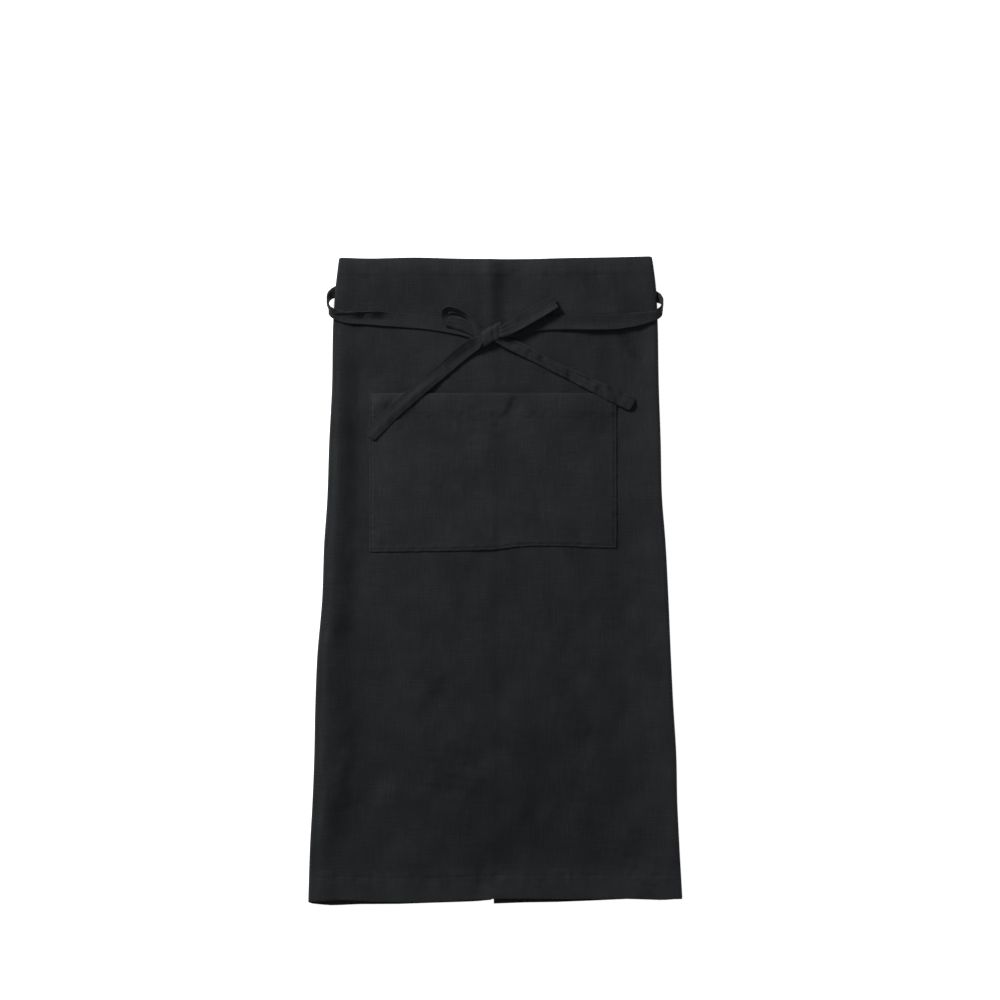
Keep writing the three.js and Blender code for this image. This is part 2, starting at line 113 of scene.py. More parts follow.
front_hem = [
    {"across": -1, "drop": 0.42},
    {"across": -0.88, "drop": 0.2},
    {"across": -0.6, "drop": 0.42},
    {"across": -0.35, "drop": 0.42},
    {"across": -0.2, "drop": 0.22},
    {"across": 0, "drop": 0},
    {"across": 0.3, "drop": -0.05},
    {"across": 0.65, "drop": 0},
    {"across": 1, "drop": 0},
]
left_flap_hem = [
    {"across": -1, "drop": 0.72},
    {"across": -0.9, "drop": 1},
    {"across": -0.7, "drop": 0.85},
    {"across": -0.48, "drop": 0.81},
    {"across": -0.35, "drop": 0.67},
    {"across": -0.22, "drop": 0.54},
    {"across": -0.1, "drop": 0.43},
    {"across": 0, "drop": 0.16},
]
right_flap_hem = [
    {"across": -0.02, "drop": 0.8},
    {"across": 0.04, "drop": 0.69},
    {"across": 0.2, "drop": 0.58},
    {"across": 0.38, "drop": 0.5},
    {"across": 0.5, "drop": 0.35},
    {"across": 0.63, "drop": 0.15},
    {"across": 0.75, "drop": 0.06},
    {"across": 0.93, "drop": 0.22},
    {"across": 1, "drop": 0},
]
# Beside the side folds, in mm: on the left how far in the cloth crests, how high, how deep it then dips
# and over what width it falls; on the right how high it rises to the fold from the dip beside it
sides = [
    {"down": 0, "crest": 4, "rise": 0.6, "dip": 0.6, "fall": 16, "right_rise": 0.8, "right_dip": 0.3},
    {"down": 0.12, "crest": 5, "rise": 0.9, "dip": 0.8, "fall": 20, "right_rise": 1.3, "right_dip": 0.5},
    {"down": 0.18, "crest": 6, "rise": 2.1, "dip": 2.4, "fall": 23, "right_rise": 2.1, "right_dip": 0.8},
    {"down": 0.3, "crest": 8, "rise": 3.1, "dip": 3.2, "fall": 25, "right_rise": 2.7, "right_dip": 1.1},
    {"down": 0.45, "crest": 9, "rise": 3.3, "dip": 3.3, "fall": 27, "right_rise": 2.8, "right_dip": 1.1},
    {"down": 0.6, "crest": 10, "rise": 3.2, "dip": 3.2, "fall": 30, "right_rise": 2.8, "right_dip": 1.1},
    {"down": 0.75, "crest": 9, "rise": 2.9, "dip": 3.2, "fall": 37, "right_rise": 2.9, "right_dip": 1.2},
    {"down": 0.88, "crest": 12, "rise": 2.6, "dip": 2.8, "fall": 33, "right_rise": 2.7, "right_dip": 1.1},
    {"down": 0.96, "crest": 12, "rise": 1.5, "dip": 1.1, "fall": 26, "right_rise": 1.7, "right_dip": 0.6},
    {"down": 1, "crest": 12, "rise": 0.7, "dip": 0.4, "fall": 22, "right_rise": 1.0, "right_dip": 0.3},
]

# Dents and swells of the front, in mm from the centre line and the top edge. A row may turn, in degrees,
# and lee widens its right side
dents = [
    {"at": "crest beside the slit, waist", "x": -6, "down": 34, "wide": 9, "tall": 60, "swell": 2.3},
    {"at": "step over the slit, waist", "x": 15, "down": 34, "wide": 11, "tall": 58, "lee": 3, "swell": -3.4},
    {"at": "step over the slit, body", "x": 5, "down": 430, "wide": 6, "tall": 420, "lee": 3, "swell": -0.8},
    {"at": "bump beside the step", "x": -13, "down": 14, "wide": 8, "tall": 8, "swell": 0.9},
    {"at": "lower bump", "x": -8, "down": 28, "wide": 7, "tall": 5, "swell": 0.5},
    {"at": "sag under the left tie", "x": -95, "down": 67, "wide": 80, "tall": 25, "turn": -3, "swell": -2.0},
    {"at": "crease", "x": 171, "down": 117, "wide": 27, "tall": 7, "turn": -52, "lee": 0.4, "swell": -3.4},
    {"at": "left of the pocket", "x": -165, "down": 190, "wide": 16, "tall": 30, "turn": 20, "swell": 0.8},
    {"at": "below the pocket", "x": 25, "down": 395, "wide": 70, "tall": 26, "turn": 4, "swell": -1.1},
    {"at": "swell under that", "x": -60, "down": 425, "wide": 60, "tall": 26, "turn": 8, "swell": 1.0},
    {"at": "low, right of middle", "x": 80, "down": 548, "wide": 50, "tall": 36, "turn": 15, "swell": 2.5},
    {"at": "low, right, small", "x": 118, "down": 512, "wide": 18, "tall": 16, "turn": 20, "swell": 1.1},
    {"at": "low, middle", "x": 4, "down": 508, "wide": 16, "tall": 16, "swell": 1.1},
    {"at": "low, middle, under that", "x": -2, "down": 566, "wide": 20, "tall": 20, "swell": 1.4},
    {"at": "lowest, middle", "x": 26, "down": 662, "wide": 24, "tall": 28, "swell": 2.4},
    {"at": "lowest, left of middle", "x": -55, "down": 668, "wide": 62, "tall": 34, "swell": 1.5},
    {"at": "low, left", "x": -140, "down": 650, "wide": 34, "tall": 70, "turn": 25, "swell": -1.2},
    {"at": "creases at the hem", "x": -85, "down": 690, "wide": 12, "tall": 34, "turn": 38, "swell": 1.0},
    {"at": "creases, further left", "x": -112, "down": 700, "wide": 10, "tall": 30, "turn": 38, "swell": 0.8},
    {"at": "lower left", "x": -70, "down": 560, "wide": 50, "tall": 60, "turn": -15, "swell": 1.3},
    {"at": "lower right", "x": 120, "down": 620, "wide": 40, "tall": 60, "turn": 15, "swell": 1.1},
]

# Soft unevenness of the front, in mm; even is how much of it is alike all over, and not gathered in places
unevenness = [
    {"shortest": 60, "longest": 150, "high": 0.75, "even": 1, "seed": 11},
    {"shortest": 26, "longest": 56, "high": 0.3, "even": 0.4, "seed": 12},
    {"shortest": 10, "longest": 20, "high": 0.09, "even": 0, "seed": 13},
]

# Patches of the front painted darker or paler into its colour: painted shade in the crease on the right,
# along the left valley, on the step at the waist and below the waist hem on the left; a painted highlight
# right of the step; the foot hem paler, painted highlight along with wear; elsewhere the cloth is darker in
# places low in the middle and right
painted_shade_and_tone_patches = [
    {"at": "low, middle", "x": -8, "down": 645, "wide": 95, "tall": 80, "swell": -0.7},
    {"at": "low, right of middle", "x": 70, "down": 590, "wide": 40, "tall": 40, "swell": -0.4},
    {"at": "waist, left", "x": -115, "down": 42, "wide": 60, "tall": 34, "swell": -0.6},
    {"at": "waist, on the step", "x": 3, "down": 36, "wide": 9, "tall": 50, "swell": -0.6},
    {"at": "waist, right of the step", "x": 32, "down": 12, "wide": 30, "tall": 14, "swell": 0.6},
    {"at": "crease, right", "x": 161, "down": 107, "wide": 8, "tall": 22, "turn": 36, "swell": -1.0},
    {"at": "foot hem", "x": -90, "down": 752, "wide": 70, "tall": 16, "swell": 0.5},
    {"at": "left valley", "x": -173, "down": 570, "wide": 21, "tall": 175, "swell": -0.8},
    {"at": "left valley, upper", "x": -174, "down": 205, "wide": 17, "tall": 70, "swell": -0.8},
    {"at": "under the pocket's middle", "x": 27, "down": 452, "wide": 15, "tall": 18, "swell": -0.8},
    {"at": "middle, below that", "x": 29, "down": 535, "wide": 16, "tall": 16, "swell": -0.8},
    {"at": "low, right", "x": 90, "down": 628, "wide": 18, "tall": 20, "swell": -0.6},
    {"at": "lowest, middle", "x": 42, "down": 702, "wide": 30, "tall": 20, "swell": -0.7},
]


def curve(at, knots, values):
    """A smooth line through a table's values, read at any places along it."""
    knots = np.asarray(knots, float)
    values = np.asarray(values, float)
    slopes = np.gradient(values, knots, axis=0)
    at = np.clip(at, knots[0], knots[-1])
    i = np.clip(np.searchsorted(knots, at, side="right") - 1, 0, len(knots) - 2)
    step = knots[i + 1] - knots[i]
    share = (at - knots[i]) / step
    if values.ndim > 1:
        step = step[:, None]
        share = share[:, None]
    return (
        values[i] * (1 + 2 * share) * (1 - share) ** 2
        + values[i + 1] * share**2 * (3 - 2 * share)
        + slopes[i] * step * share * (1 - share) ** 2
        + slopes[i + 1] * step * share**2 * (share - 1)
    )


def read(table, key, at, column):
    """One column of a table of rows, read smoothly between them."""
    return curve(at, [row[key] for row in table], [row[column] for row in table])


def soft_step(at, low, high):
    """0 below low, 1 above high, smooth between."""
    share = np.clip((at - low) / (high - low), 0, 1)
    return share * share * (3 - 2 * share)


def ripples(x, y, shortest, longest, seed, count=26):
    """Soft unevenness: waves of random heading, with lengths between two sizes in mm."""
    draw = np.random.default_rng(seed)
    total = 0
    for _ in range(count):
        heading, share, phase = draw.uniform(0, 1, 3)
        length = shortest * (longest / shortest) ** share
        along = x * math.cos(math.pi * heading) + y * math.sin(math.pi * heading)
        total = total + np.sin(2 * math.pi * (along / length + phase))
    return total / math.sqrt(count / 2)


def dented(x, down, table):
    """Sum of a table's dents and swells at places in mm."""
    height = 0
    for dent in table:
        turn = math.radians(dent.get("turn", 0))
        right = x - dent["x"]
        up = dent["down"] - down
        u = (right * math.cos(turn) + up * math.sin(turn)) / dent["wide"]
        v = (up * math.cos(turn) - right * math.sin(turn)) / dent["tall"]
        u = np.where(u > 0, u / dent.get("lee", 1), u)
        height = height + dent["swell"] * np.exp(-u * u - v * v)
    return height


def half_width(x, down):
    """Half the width of the front, on the side that x is on."""
    share = np.where(x < 0, read(flare, "down", down, "left"), read(flare, "down", down, "right"))
    return (waist_width + (hem_width - waist_width) * share) / 2


def flap_bottom(down):
    """Lower face of the back flaps: at the waist they lie on the ties, below that on the surface."""
    return tie_rise * (1 - soft_step(down * apron_length, *tie_rise_ends))


def hem_shape(from_top, from_foot, x, seed):
    """Height that the hems add to the cloth: the turned layers, the stitched groove and its puckers."""
    height = waist_hem_rise * (1 - soft_step(from_top, top_hem - 0.8, top_hem + 1.4))
    height = height + foot_hem_rise * (1 - soft_step(from_foot, bottom_hem - 5, bottom_hem + 12))
    pucker = ripples(x, 0.45 * from_top, 8, 26, seed)
    waist_row = from_top - top_hem + stitch_inset
    foot_row = from_foot - bottom_hem + stitch_inset
    for row, groove, pull in ((waist_row, 0.22, 0.2), (foot_row, 0.35, 0.38)):
        height = height - groove * np.exp(-((row / 1.0) ** 2))
        height = height + pull * pucker * np.exp(-((row / 7) ** 2))
    return height


def front_top(x, down):
    """Upper face of the front at a place: x in mm from the centre line, down as a share of the length."""
    half = half_width(x, down)
    from_top = down * apron_length
    from_fold = half - np.abs(x) - fold_reach
    crest, rise = read(sides, "down", down, "crest"), read(sides, "down", down, "rise")
    dip, fall = read(sides, "down", down, "dip"), read(sides, "down", down, "fall")
    before = rise * np.exp(-(((from_fold - crest) / (0.6 * crest + 2)) ** 2))
    beyond = rise - (rise + dip) * soft_step(from_fold, crest, crest + fall)
    fading = -dip * np.exp(-(((from_fold - crest - fall) / dip_reach) ** 2))
    beyond = np.where(from_fold > crest + fall, fading, beyond)
    left = np.where(from_fold < crest, before, beyond)
    rise, dip = read(sides, "down", down, "right_rise"), read(sides, "down", down, "right_dip")
    right = (rise + dip) * np.clip(1 - from_fold / right_slope, 0, 1) ** 1.5
    right = right - dip * np.exp(-((np.clip(from_fold - right_slope, 0, None) / dip_reach) ** 2))
    height = flap_bottom(down) + 2 * cloth_wall + hollow + np.where(x < 0, left, right)
    height = height + dented(x, from_top, dents)
    calm = 1 - 0.75 * np.exp(-((from_fold / 6) ** 2))
    crumpled = calm * (0.6 + 0.5 * soft_step(down, 0.5, 0.8))
    gathered = np.clip(0.6 + ripples(x, from_top, 90, 220, 15), 0, 1.6)
    for row in unevenness:
        share = row["even"] + (1 - row["even"]) * gathered
        waves = ripples(x, from_top, row["shortest"], row["longest"], row["seed"])
        height = height + crumpled * row["high"] * waves * share
    height = height - waist_edge_fall * np.exp(-((from_top / 6) ** 2))
    mouth = np.exp(-(((from_top - pocket_down + 0.6) / 2.2) ** 2))
    height = height - 0.9 * mouth * soft_step(pocket_width / 2 - np.abs(x - pocket_aside), 0, 12)
    height = height + hem_shape(from_top, apron_length - from_top, x, 14)
    lowest = flap_bottom(down) + 2 * cloth_wall + 0.35
    return lowest + 0.5 * (height - lowest + np.sqrt((height - lowest) ** 2 + 0.2))


def flap_face(x, down, side):
    """Under face of a back flap: flat where it rests, with its hems' grooves and its edge hem."""
    from_top = down * apron_length
    from_edge = np.abs(x - slit_aside)
    height = flap_bottom(down) + 0.12 + 0.1 * ripples(x, from_top, 40, 110, 21 if side < 0 else 22)
    height = height + 0.35 * soft_step(from_edge, flap_hem - 0.6, flap_hem + 0.8)
    height = height + 0.35 * soft_step(from_top, top_hem - 0.6, top_hem + 0.8)
    height = height + 0.35 * soft_step(apron_length - from_top, bottom_hem - 0.6, bottom_hem + 0.8)
    return np.maximum(height, flap_bottom(down))


def cloth_grid():
    """Outer face of the whole cloth: rows down its length, columns from one flap's edge to the other's."""
    body_rows = np.linspace(26, apron_length - 36, body_row_count)
    hem_rows = [0, 0.4, 0.9, 1.6, 2.4, *np.arange(3.6, 25.5, 1.2)]
    foot_rows = [apron_length - row for row in (*np.arange(35, 3.2, -1.2), 2.4, 1.6, 0.9, 0.4, 0)]
    downs = np.array([*hem_rows, *body_rows, *foot_rows])[:, None] / apron_length
    flap = np.linspace(0, 1, flap_columns)
    turn = np.linspace(0, 1, fold_columns)[1:]
    columns = []
    starts = []
    for side in (-1, 1):
        start = half_width(np.full_like(downs, side), downs) - fold_reach
        starts.append(start)
        flap_edge = slit_aside + side * slit_width / 2
        x = flap_edge + flap * (side * start - slit_aside - side * slit_width / 2)
        flap_part = np.stack([x, flap_face(x, downs, side), np.broadcast_to(0.0, x.shape)], -1)
        low = flap_face(side * start, downs, side)
        high = front_top(side * start, downs)
        middle = (low + high) / 2
        x = side * (start + fold_reach * np.sin(math.pi * turn))
        z = middle - (middle - low) * np.cos(math.pi * turn)
        fold_part = np.stack([x, z, np.broadcast_to(turn, x.shape)], -1)
        columns.append(np.concatenate([flap_part, fold_part], 1))
    share = np.linspace(0, 1, front_columns)[1:-1]
    x = -starts[0] + share * (starts[0] + starts[1])
    front = np.stack([x, front_top(x, downs), np.broadcast_to(1.0, x.shape)], -1)
    grid = np.concatenate([columns[0], front, columns[1][:, ::-1]], 1)
    x, z, over = grid[..., 0], grid[..., 1], grid[..., 2]
    across = x / half_width(x, downs)
    column = np.arange(grid.shape[1])
    left_side = column < grid.shape[1] // 2
    left_drop = read(left_flap_hem, "across", across, "drop")
    flap_drop = np.where(left_side, left_drop, read(right_flap_hem, "across", across, "drop"))
    drop = flap_drop + (read(front_hem, "across", across, "drop") - flap_drop) * over
    top = top_wave * read(top_line, "across", across, "rise") - back_tuck * (1 - over)
    y = top + (-apron_length - hem_wave * drop - top) * downs
    return np.stack([x, y, z], -1), downs


def faces_out(points):
    """Unit normals of a grid of points."""
    along = np.gradient(points, axis=1)
    down = np.gradient(points, axis=0)
    normal = np.cross(down, along)
    return normal / np.linalg.norm(normal, axis=-1, keepdims=True)


def lengths(points, axis):
    """Running length of a grid's lines along one of its axes."""
    steps = np.linalg.norm(np.diff(points, axis=axis), axis=-1)
    run = np.cumsum(steps, axis=axis)
    pad = [(0, 0), (0, 0)]
    pad[axis] = (1, 0)
    return np.pad(run, pad)


def to_frame(points):
    """Millimetres from the centre line and the top edge, as metres in the frame."""
    return (np.asarray(points, float).reshape(-1, 3) + (CENTRE_LINE, top_edge, 0)) * MM


def make_mesh(name, points, faces, cloth_map, wear_and_painted_light=None):
    """A smooth mesh object from points in mm, faces, and each point's place on the flat cloth in metres."""
    data = bpy.data.meshes.new(name)
    data.from_pydata(to_frame(points).tolist(), [], faces)
    layer = data.uv_layers.new(name="cloth")
    corner = np.empty(len(data.loops), dtype=np.int64)
    data.loops.foreach_get("vertex_index", corner)
    layer.data.foreach_set("uv", np.asarray(cloth_map, float)[corner].ravel())
    # A per-point attribute that carries painted highlights and painted shade, with some wear, for the linen's
    # tone
    if wear_and_painted_light is not None:
        data.attributes.new("wear_and_painted_light", "FLOAT", "POINT").data.foreach_set("value", np.asarray(wear_and_painted_light, float))
    data.validate()
    shell = bmesh.new()
    shell.from_mesh(data)
    inside_out = shell.calc_volume(signed=True) < 0
    shell.free()
    if inside_out:
        data.flip_normals()
    made = bpy.data.objects.new(name, data)
    bpy.context.collection.objects.link(made)
    bpy.ops.object.select_all(action="DESELECT")
    made.select_set(True)
    bpy.context.view_layer.objects.active = made
    bpy.ops.object.shade_smooth_by_angle(angle=smooth_angle)
    made.select_set(False)
    return made


def two_faced(name, outer, inner_of, cloth_map, wear_and_painted_light, coarse=5):
    """A closed cloth: a fine outer face, a coarser inner face, and a rim that joins the two."""
    rows, columns = outer.shape[:2]
    index = np.arange(rows * columns).reshape(rows, columns)
    some_rows = np.unique(np.linspace(0, rows - 1, rows // coarse).round().astype(int))
    some_columns = np.unique(np.linspace(0, columns - 1, columns // coarse).round().astype(int))
    chosen = np.ix_(some_rows, some_columns)
    inner = inner_of[chosen]
    inner_index = rows * columns + np.arange(inner.shape[0] * inner.shape[1]).reshape(inner.shape[:2])
    faces = []
    for grid, turned in ((index, False), (inner_index, True)):
        quads = np.stack([grid[:-1, :-1], grid[1:, :-1], grid[1:, 1:], grid[:-1, 1:]], -1).reshape(-1, 4)
        faces += (quads[:, ::-1] if turned else quads).tolist()

    def join(fine, rough, stops, turned):
        for k in range(len(stops) - 1):
            low, high = stops[k], stops[k + 1]
            loop = [*fine[low : high + 1], rough[k + 1], rough[k]]
            faces.append([int(i) for i in (loop[::-1] if turned else loop)])

    join(index[0], inner_index[0], some_columns, False)
    join(index[-1], inner_index[-1], some_columns, True)
    join(index[:, 0], inner_index[:, 0], some_rows, True)
    join(index[:, -1], inner_index[:, -1], some_rows, False)
    points = np.concatenate([outer.reshape(-1, 3), inner.reshape(-1, 3)])
    flat = np.concatenate([cloth_map.reshape(-1, 2), cloth_map[chosen].reshape(-1, 2)])
    light_shade_and_wear = np.concatenate([wear_and_painted_light.ravel(), 0 * inner[..., 0].ravel()])
    return make_mesh(name, points, faces, flat, light_shade_and_wear)


outer, downs = cloth_grid()
normal = faces_out(outer)
from_top = downs * apron_length
hemmed = 1 - soft_step(from_top, top_hem - 1, top_hem + 1) * soft_step(
    apron_length - from_top, bottom_hem - 1, bottom_hem + 1
)
wall = (cloth_wall + waist_hem_rise * hemmed)[..., None]
to_rim = np.minimum(from_top, apron_length - from_top)[..., None]
rounding = np.clip(1 - to_rim / rim_round, 0, 1)
inner = outer - normal * wall
outer = outer - normal * wall * 0.42 * (1 - np.sqrt(1 - rounding**2))
middle_column = outer.shape[1] // 2
across_run = lengths(outer, 1)
across_run = across_run - across_run[:, middle_column : middle_column + 1]
cloth_map = np.stack([across_run, -np.broadcast_to(from_top, across_run.shape)], -1) * MM
# Painted highlight, with some wear: the waist and foot hems, the rounded strips beside the folds, narrow on
# the left and wide on the right, and the top rim are painted paler where the light falls on them; the patches
# add painted shade and darker and paler spots
hem_highlight_and_wear = 0.55 * (1 - soft_step(from_top, top_hem - 2, top_hem))
hem_highlight_and_wear = hem_highlight_and_wear + 1.05 * (1 - soft_step(apron_length - from_top, bottom_hem - 8, bottom_hem + 4))
fold_gap = half_width(outer[..., 0], np.broadcast_to(downs, across_run.shape)) - np.abs(outer[..., 0])
fold_wide = np.where(outer[..., 0] < 0, 14, 52) * (0.5 + 0.5 * downs)
wear_and_painted_light = hem_highlight_and_wear + 1.0 * np.exp(-((fold_gap / fold_wide) ** 2)) * soft_step(from_top, 40, 140)
wear_and_painted_light = wear_and_painted_light + 0.5 * np.exp(-((from_top / 3) ** 2)) + dented(outer[..., 0], from_top, painted_shade_and_tone_patches)
main_cloth = two_faced("main_cloth", outer, inner, cloth_map, wear_and_painted_light)


class Dye:
    """A socket of a material; arithmetic on it adds Math nodes, and node adds any other node."""

    def __init__(self, socket):
        self.socket = socket

    def node(self, kind, settings, sockets, output=0):
        tree = self.socket.id_data
        made = tree.nodes.new(kind)
        for name, value in settings.items():
            if name == "stops":
                for stop, (place, colour) in zip(made.color_ramp.elements, value):
                    stop.position = place
                    stop.color = colour
            else:
                setattr(made, name, value)
        for name, value in sockets.items():
            if isinstance(value, Dye):
                tree.links.new(value.socket, made.inputs[name])
            else:
                made.inputs[name].default_value = value
        return Dye(made.outputs[output])

    def maths(self, operation, *values):
        return self.node("ShaderNodeMath", {"operation": operation}, dict(enumerate(values)))

    def __add__(self, other):
        return self.maths("ADD", self, other)

    def __sub__(self, other):
        return self.maths("SUBTRACT", self, other)

    def __rsub__(self, other):
        return self.maths("SUBTRACT", other, self)

    def __mul__(self, other):
        return self.maths("MULTIPLY", self, other)

    __radd__ = __add__
    __rmul__ = __mul__

    def between(self, low, high):
        settings = {"interpolation_type": "SMOOTHSTEP"}
        return self.node("ShaderNodeMapRange", settings, {"Value": self, 1: low, 2: high})


def noise(place, across, along, detail, seed):
    """Noise on the flat cloth, with the size of its grains across and along in mm."""
    stretch = {"Vector": place, "Location": (seed, seed, seed), "Scale": (1 / across, 1 / along, 1)}
    stretched = place.node("ShaderNodeMapping", {}, stretch)
    grain = {"Vector": stretched, "Scale": 1000.0, "Detail": detail}
    return place.node("ShaderNodeTexNoise", {"noise_dimensions": "2D"}, grain)


def linen(name, colour, thread):
    """Matt black linen: a plain weave of uneven threads, thick slubs both ways, a washed, mottled tone, and a
    mesh attribute that paints highlights and shade into the tone, with some wear.
    """
    made = bpy.data.materials.new(name)
    made.use_nodes = True
    tree = made.node_tree
    tree.nodes.clear()
    output = tree.nodes.new("ShaderNodeOutputMaterial")
    shader = tree.nodes.new("ShaderNodeBsdfPrincipled")
    tree.links.new(shader.outputs[0], output.inputs[0])
    place = Dye(tree.nodes.new("ShaderNodeUVMap").outputs[0])
    place.socket.node.uv_map = "cloth"

    warp_drift = noise(place, 3, 14, 2, 3.1) - 0.5
    weft_drift = noise(place, 14, 3, 2, 7.7) - 0.5
    split = tree.nodes.new("ShaderNodeSeparateXYZ")
    tree.links.new(place.socket, split.inputs[0])
    turns = math.pi * 1000 / thread
    across = Dye(split.outputs[0]) * turns + warp_drift * 1.6
    along = Dye(split.outputs[1]) * turns + weft_drift * 1.6
    warp_wave = across.maths("SINE", across)
    weft_wave = along.maths("SINE", along)
    over = warp_wave * weft_wave
    weave = 0.5 + 0.5 * over

    warp_slub = noise(place, 0.75, 26, 1, 11.3).between(0.52, 0.72)
    weft_slub = noise(place, 22, 0.75, 1, 17.9).between(0.53, 0.72)
    warp_fine = noise(place, 0.42, 60, 1, 23.5)
    weft_fine = noise(place, 55, 0.42, 1, 29.1)
    mottle = noise(place, 34, 48, 3, 31.7)

    # The mesh attribute paints highlights and shade into the tone, with some wear
    light_shade_and_wear = place.node("ShaderNodeAttribute", {"attribute_name": "wear_and_painted_light"}, {}, 2)
    tone = 0.56 + 0.44 * (warp_fine + weft_fine) + 0.2 * warp_slub + 0.2 * weft_slub
    tone = tone * (0.68 + 0.64 * mottle) * (0.86 + 0.28 * weave) * (1 + 0.24 * light_shade_and_wear)
    dark = [0.42 * channel for channel in colour] + [1]
    bright = [1.58 * channel for channel in colour] + [1]
    ramp = {"stops": [(0, dark), (1, bright)]}
    shade = place.node("ShaderNodeValToRGB", ramp, {0: tone - 0.5})
    tree.links.new(shade.socket, shader.inputs["Base Color"])

    relief = weave * 0.5 + 0.45 * (warp_slub + weft_slub) + 0.35 * (warp_fine + weft_fine)
    bump = place.node("ShaderNodeBump", {}, {"Strength": 0.55, "Distance": 0.0004, "Height": relief})
    tree.links.new(bump.socket, shader.inputs["Normal"])
    rough = 0.86 - 0.08 * warp_slub
    tree.links.new(rough.socket, shader.inputs["Roughness"])
    shader.inputs["Specular IOR Level"].default_value = 0.16
    shader.inputs["Sheen Weight"].default_value = 0.06
    shader.inputs["Sheen Roughness"].default_value = 0.5
    return made


black_linen = linen("black_linen", (0.0145, 0.0155, 0.0175), 0.82)
main_cloth.data.materials.append(black_linen)
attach(main_cloth, "root")
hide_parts("apron_panel")


# Patch pocket
# One wide patch of the same linen with a turned hem along its open top, sewn down at its sides and foot,
# where its edges are turned under. The cloth bags a little between the seams.
pocket_height = 186.0
pocket_wall = 0.85
pocket_hem = 27.0
pocket_slant = 5.0
pocket_lift = 0.3
pocket_loft = 0.7
pocket_round = 1.6
pocket_stitch = 2.6

pocket_foot = [
    {"across": -1, "drop": 1},
    {"across": -0.2, "drop": 0.6},
    {"across": 0.02, "drop": 0.35},
    {"across": 0.14, "drop": -0.1},
    {"across": 1, "drop": 0},
]
pocket_dents = [
    {"at": "crumple, top left", "x": -138, "down": 10, "wide": 7, "tall": 8, "turn": 35, "swell": 3.2},
    {"at": "fold beside it", "x": -124, "down": 17, "wide": 5, "tall": 13, "turn": -30, "swell": -2.0},
    {"at": "swell beyond it", "x": -108, "down": 12, "wide": 9, "tall": 9, "swell": 1.0},
    {"at": "hem dent", "x": 24, "down": 15, "wide": 5, "tall": 13, "turn": -20, "lee": 2.5, "swell": -3.0},
    {"at": "swell beside it", "x": 10, "down": 18, "wide": 8, "tall": 9, "turn": -20, "swell": 1.2},
    {"at": "pucker, bottom left", "x": -138, "down": 174, "wide": 9, "tall": 7, "turn": 40, "swell": 1.2},
    {"at": "pull, bottom middle", "x": 0, "down": 168, "wide": 4, "tall": 14, "swell": 0.9},
    {"at": "slack, middle left", "x": -70, "down": 95, "wide": 45, "tall": 28, "turn": 10, "swell": 1.2},
    {"at": "slack, middle right", "x": 70, "down": 110, "wide": 40, "tall": 34, "turn": -12, "swell": 0.9},
]

# Painted highlights on the pocket's left side, where the light falls: the crumple at its top left corner, its
# hem, its left edge and its bottom left corner
pocket_painted_highlights = [
    {"at": "corner, top left", "x": -138, "down": 12, "wide": 9, "tall": 12, "swell": 1.0},
    {"at": "hem, left", "x": -70, "down": 7, "wide": 30, "tall": 4, "swell": 0.5},
    {"at": "hem, left, low", "x": -22, "down": 21, "wide": 24, "tall": 5, "swell": 0.6},
    {"at": "left edge", "x": -143, "down": 120, "wide": 4, "tall": 60, "swell": 0.5},
    {"at": "corner, bottom left", "x": -142, "down": 176, "wide": 6, "tall": 12, "swell": 0.6},
]


def pocket_top(x, y):
    """Upper face of the pocket, in mm."""
    across = (x - pocket_aside) / (pocket_width / 2)
    foot = pocket_height + pocket_slant * read(pocket_foot, "across", across, "drop")
    down = -pocket_down - y
    from_side = pocket_width / 2 - np.abs(x - pocket_aside)
    from_foot = foot - down
    sewn = np.minimum(from_side, from_foot)
    under = front_top(x, -y / apron_length)
    loft = pocket_loft * soft_step(sewn, 2, 40)
    crumpled = 0.8 * dented(x - pocket_aside, down, pocket_dents) * soft_step(sewn, 0, 9)
    height = under + pocket_lift + pocket_wall + loft + crumpled
    height = height + 0.5 * (1 - soft_step(down, pocket_hem - 0.6, pocket_hem + 1.2))
    height = height + 0.7 * np.exp(-(((x + 10) / 34) ** 2) - ((from_foot / 12) ** 2))
    height = height + 0.3 * (1 - soft_step(sewn, 6.5, 7.8)) + 0.4 * soft_step(sewn, 2.8, 6)
    pucker = ripples(x + 0.3 * y, y, 6, 15, 31)
    for row, groove in ((sewn - pocket_stitch, 0.28), (down - pocket_hem + stitch_inset, 0.5)):
        height = height - groove * np.exp(-((row / 0.9) ** 2)) + 0.16 * pucker * np.exp(-((row / 6) ** 2))
    rim = np.clip(1 - sewn / pocket_round, 0, 1)
    height = height - 0.75 * pocket_wall * (1 - np.sqrt(1 - rim**2))
    rim = np.clip(1 - down / 0.6, 0, 1)
    return height - 0.3 * (1 - np.sqrt(1 - rim**2))


def steps_over(size, count):
    """Places of the pocket's grid lines, close together at its edges."""
    edge = np.array([0, 0.25, 0.6, 1.1, 1.8, 2.6, 3.4, 4.4])
    return np.concatenate([edge, np.linspace(5.8, size - 5.8, count), size - edge[::-1]])


across_steps = steps_over(pocket_width, 164)
down_steps = steps_over(pocket_height, 106)
x = np.broadcast_to(pocket_aside - pocket_width / 2 + across_steps, (len(down_steps), len(across_steps)))
foot = pocket_slant * read(pocket_foot, "across", (x - pocket_aside) / (pocket_width / 2), "drop")
y = -pocket_down - down_steps[:, None] * (1 + foot / pocket_height)
outer = np.stack([x, y, pocket_top(x, y)], -1)
inner = outer.copy()
inner[..., 2] = front_top(x, -y / apron_length) + pocket_lift
inner[..., 2] = np.minimum(inner[..., 2] + pocket_loft * 0.5, outer[..., 2] - 0.3)
cloth_map = np.stack([x + 1200, y + 30], -1) * MM
from_edge = np.minimum(across_steps, across_steps[::-1])[None]
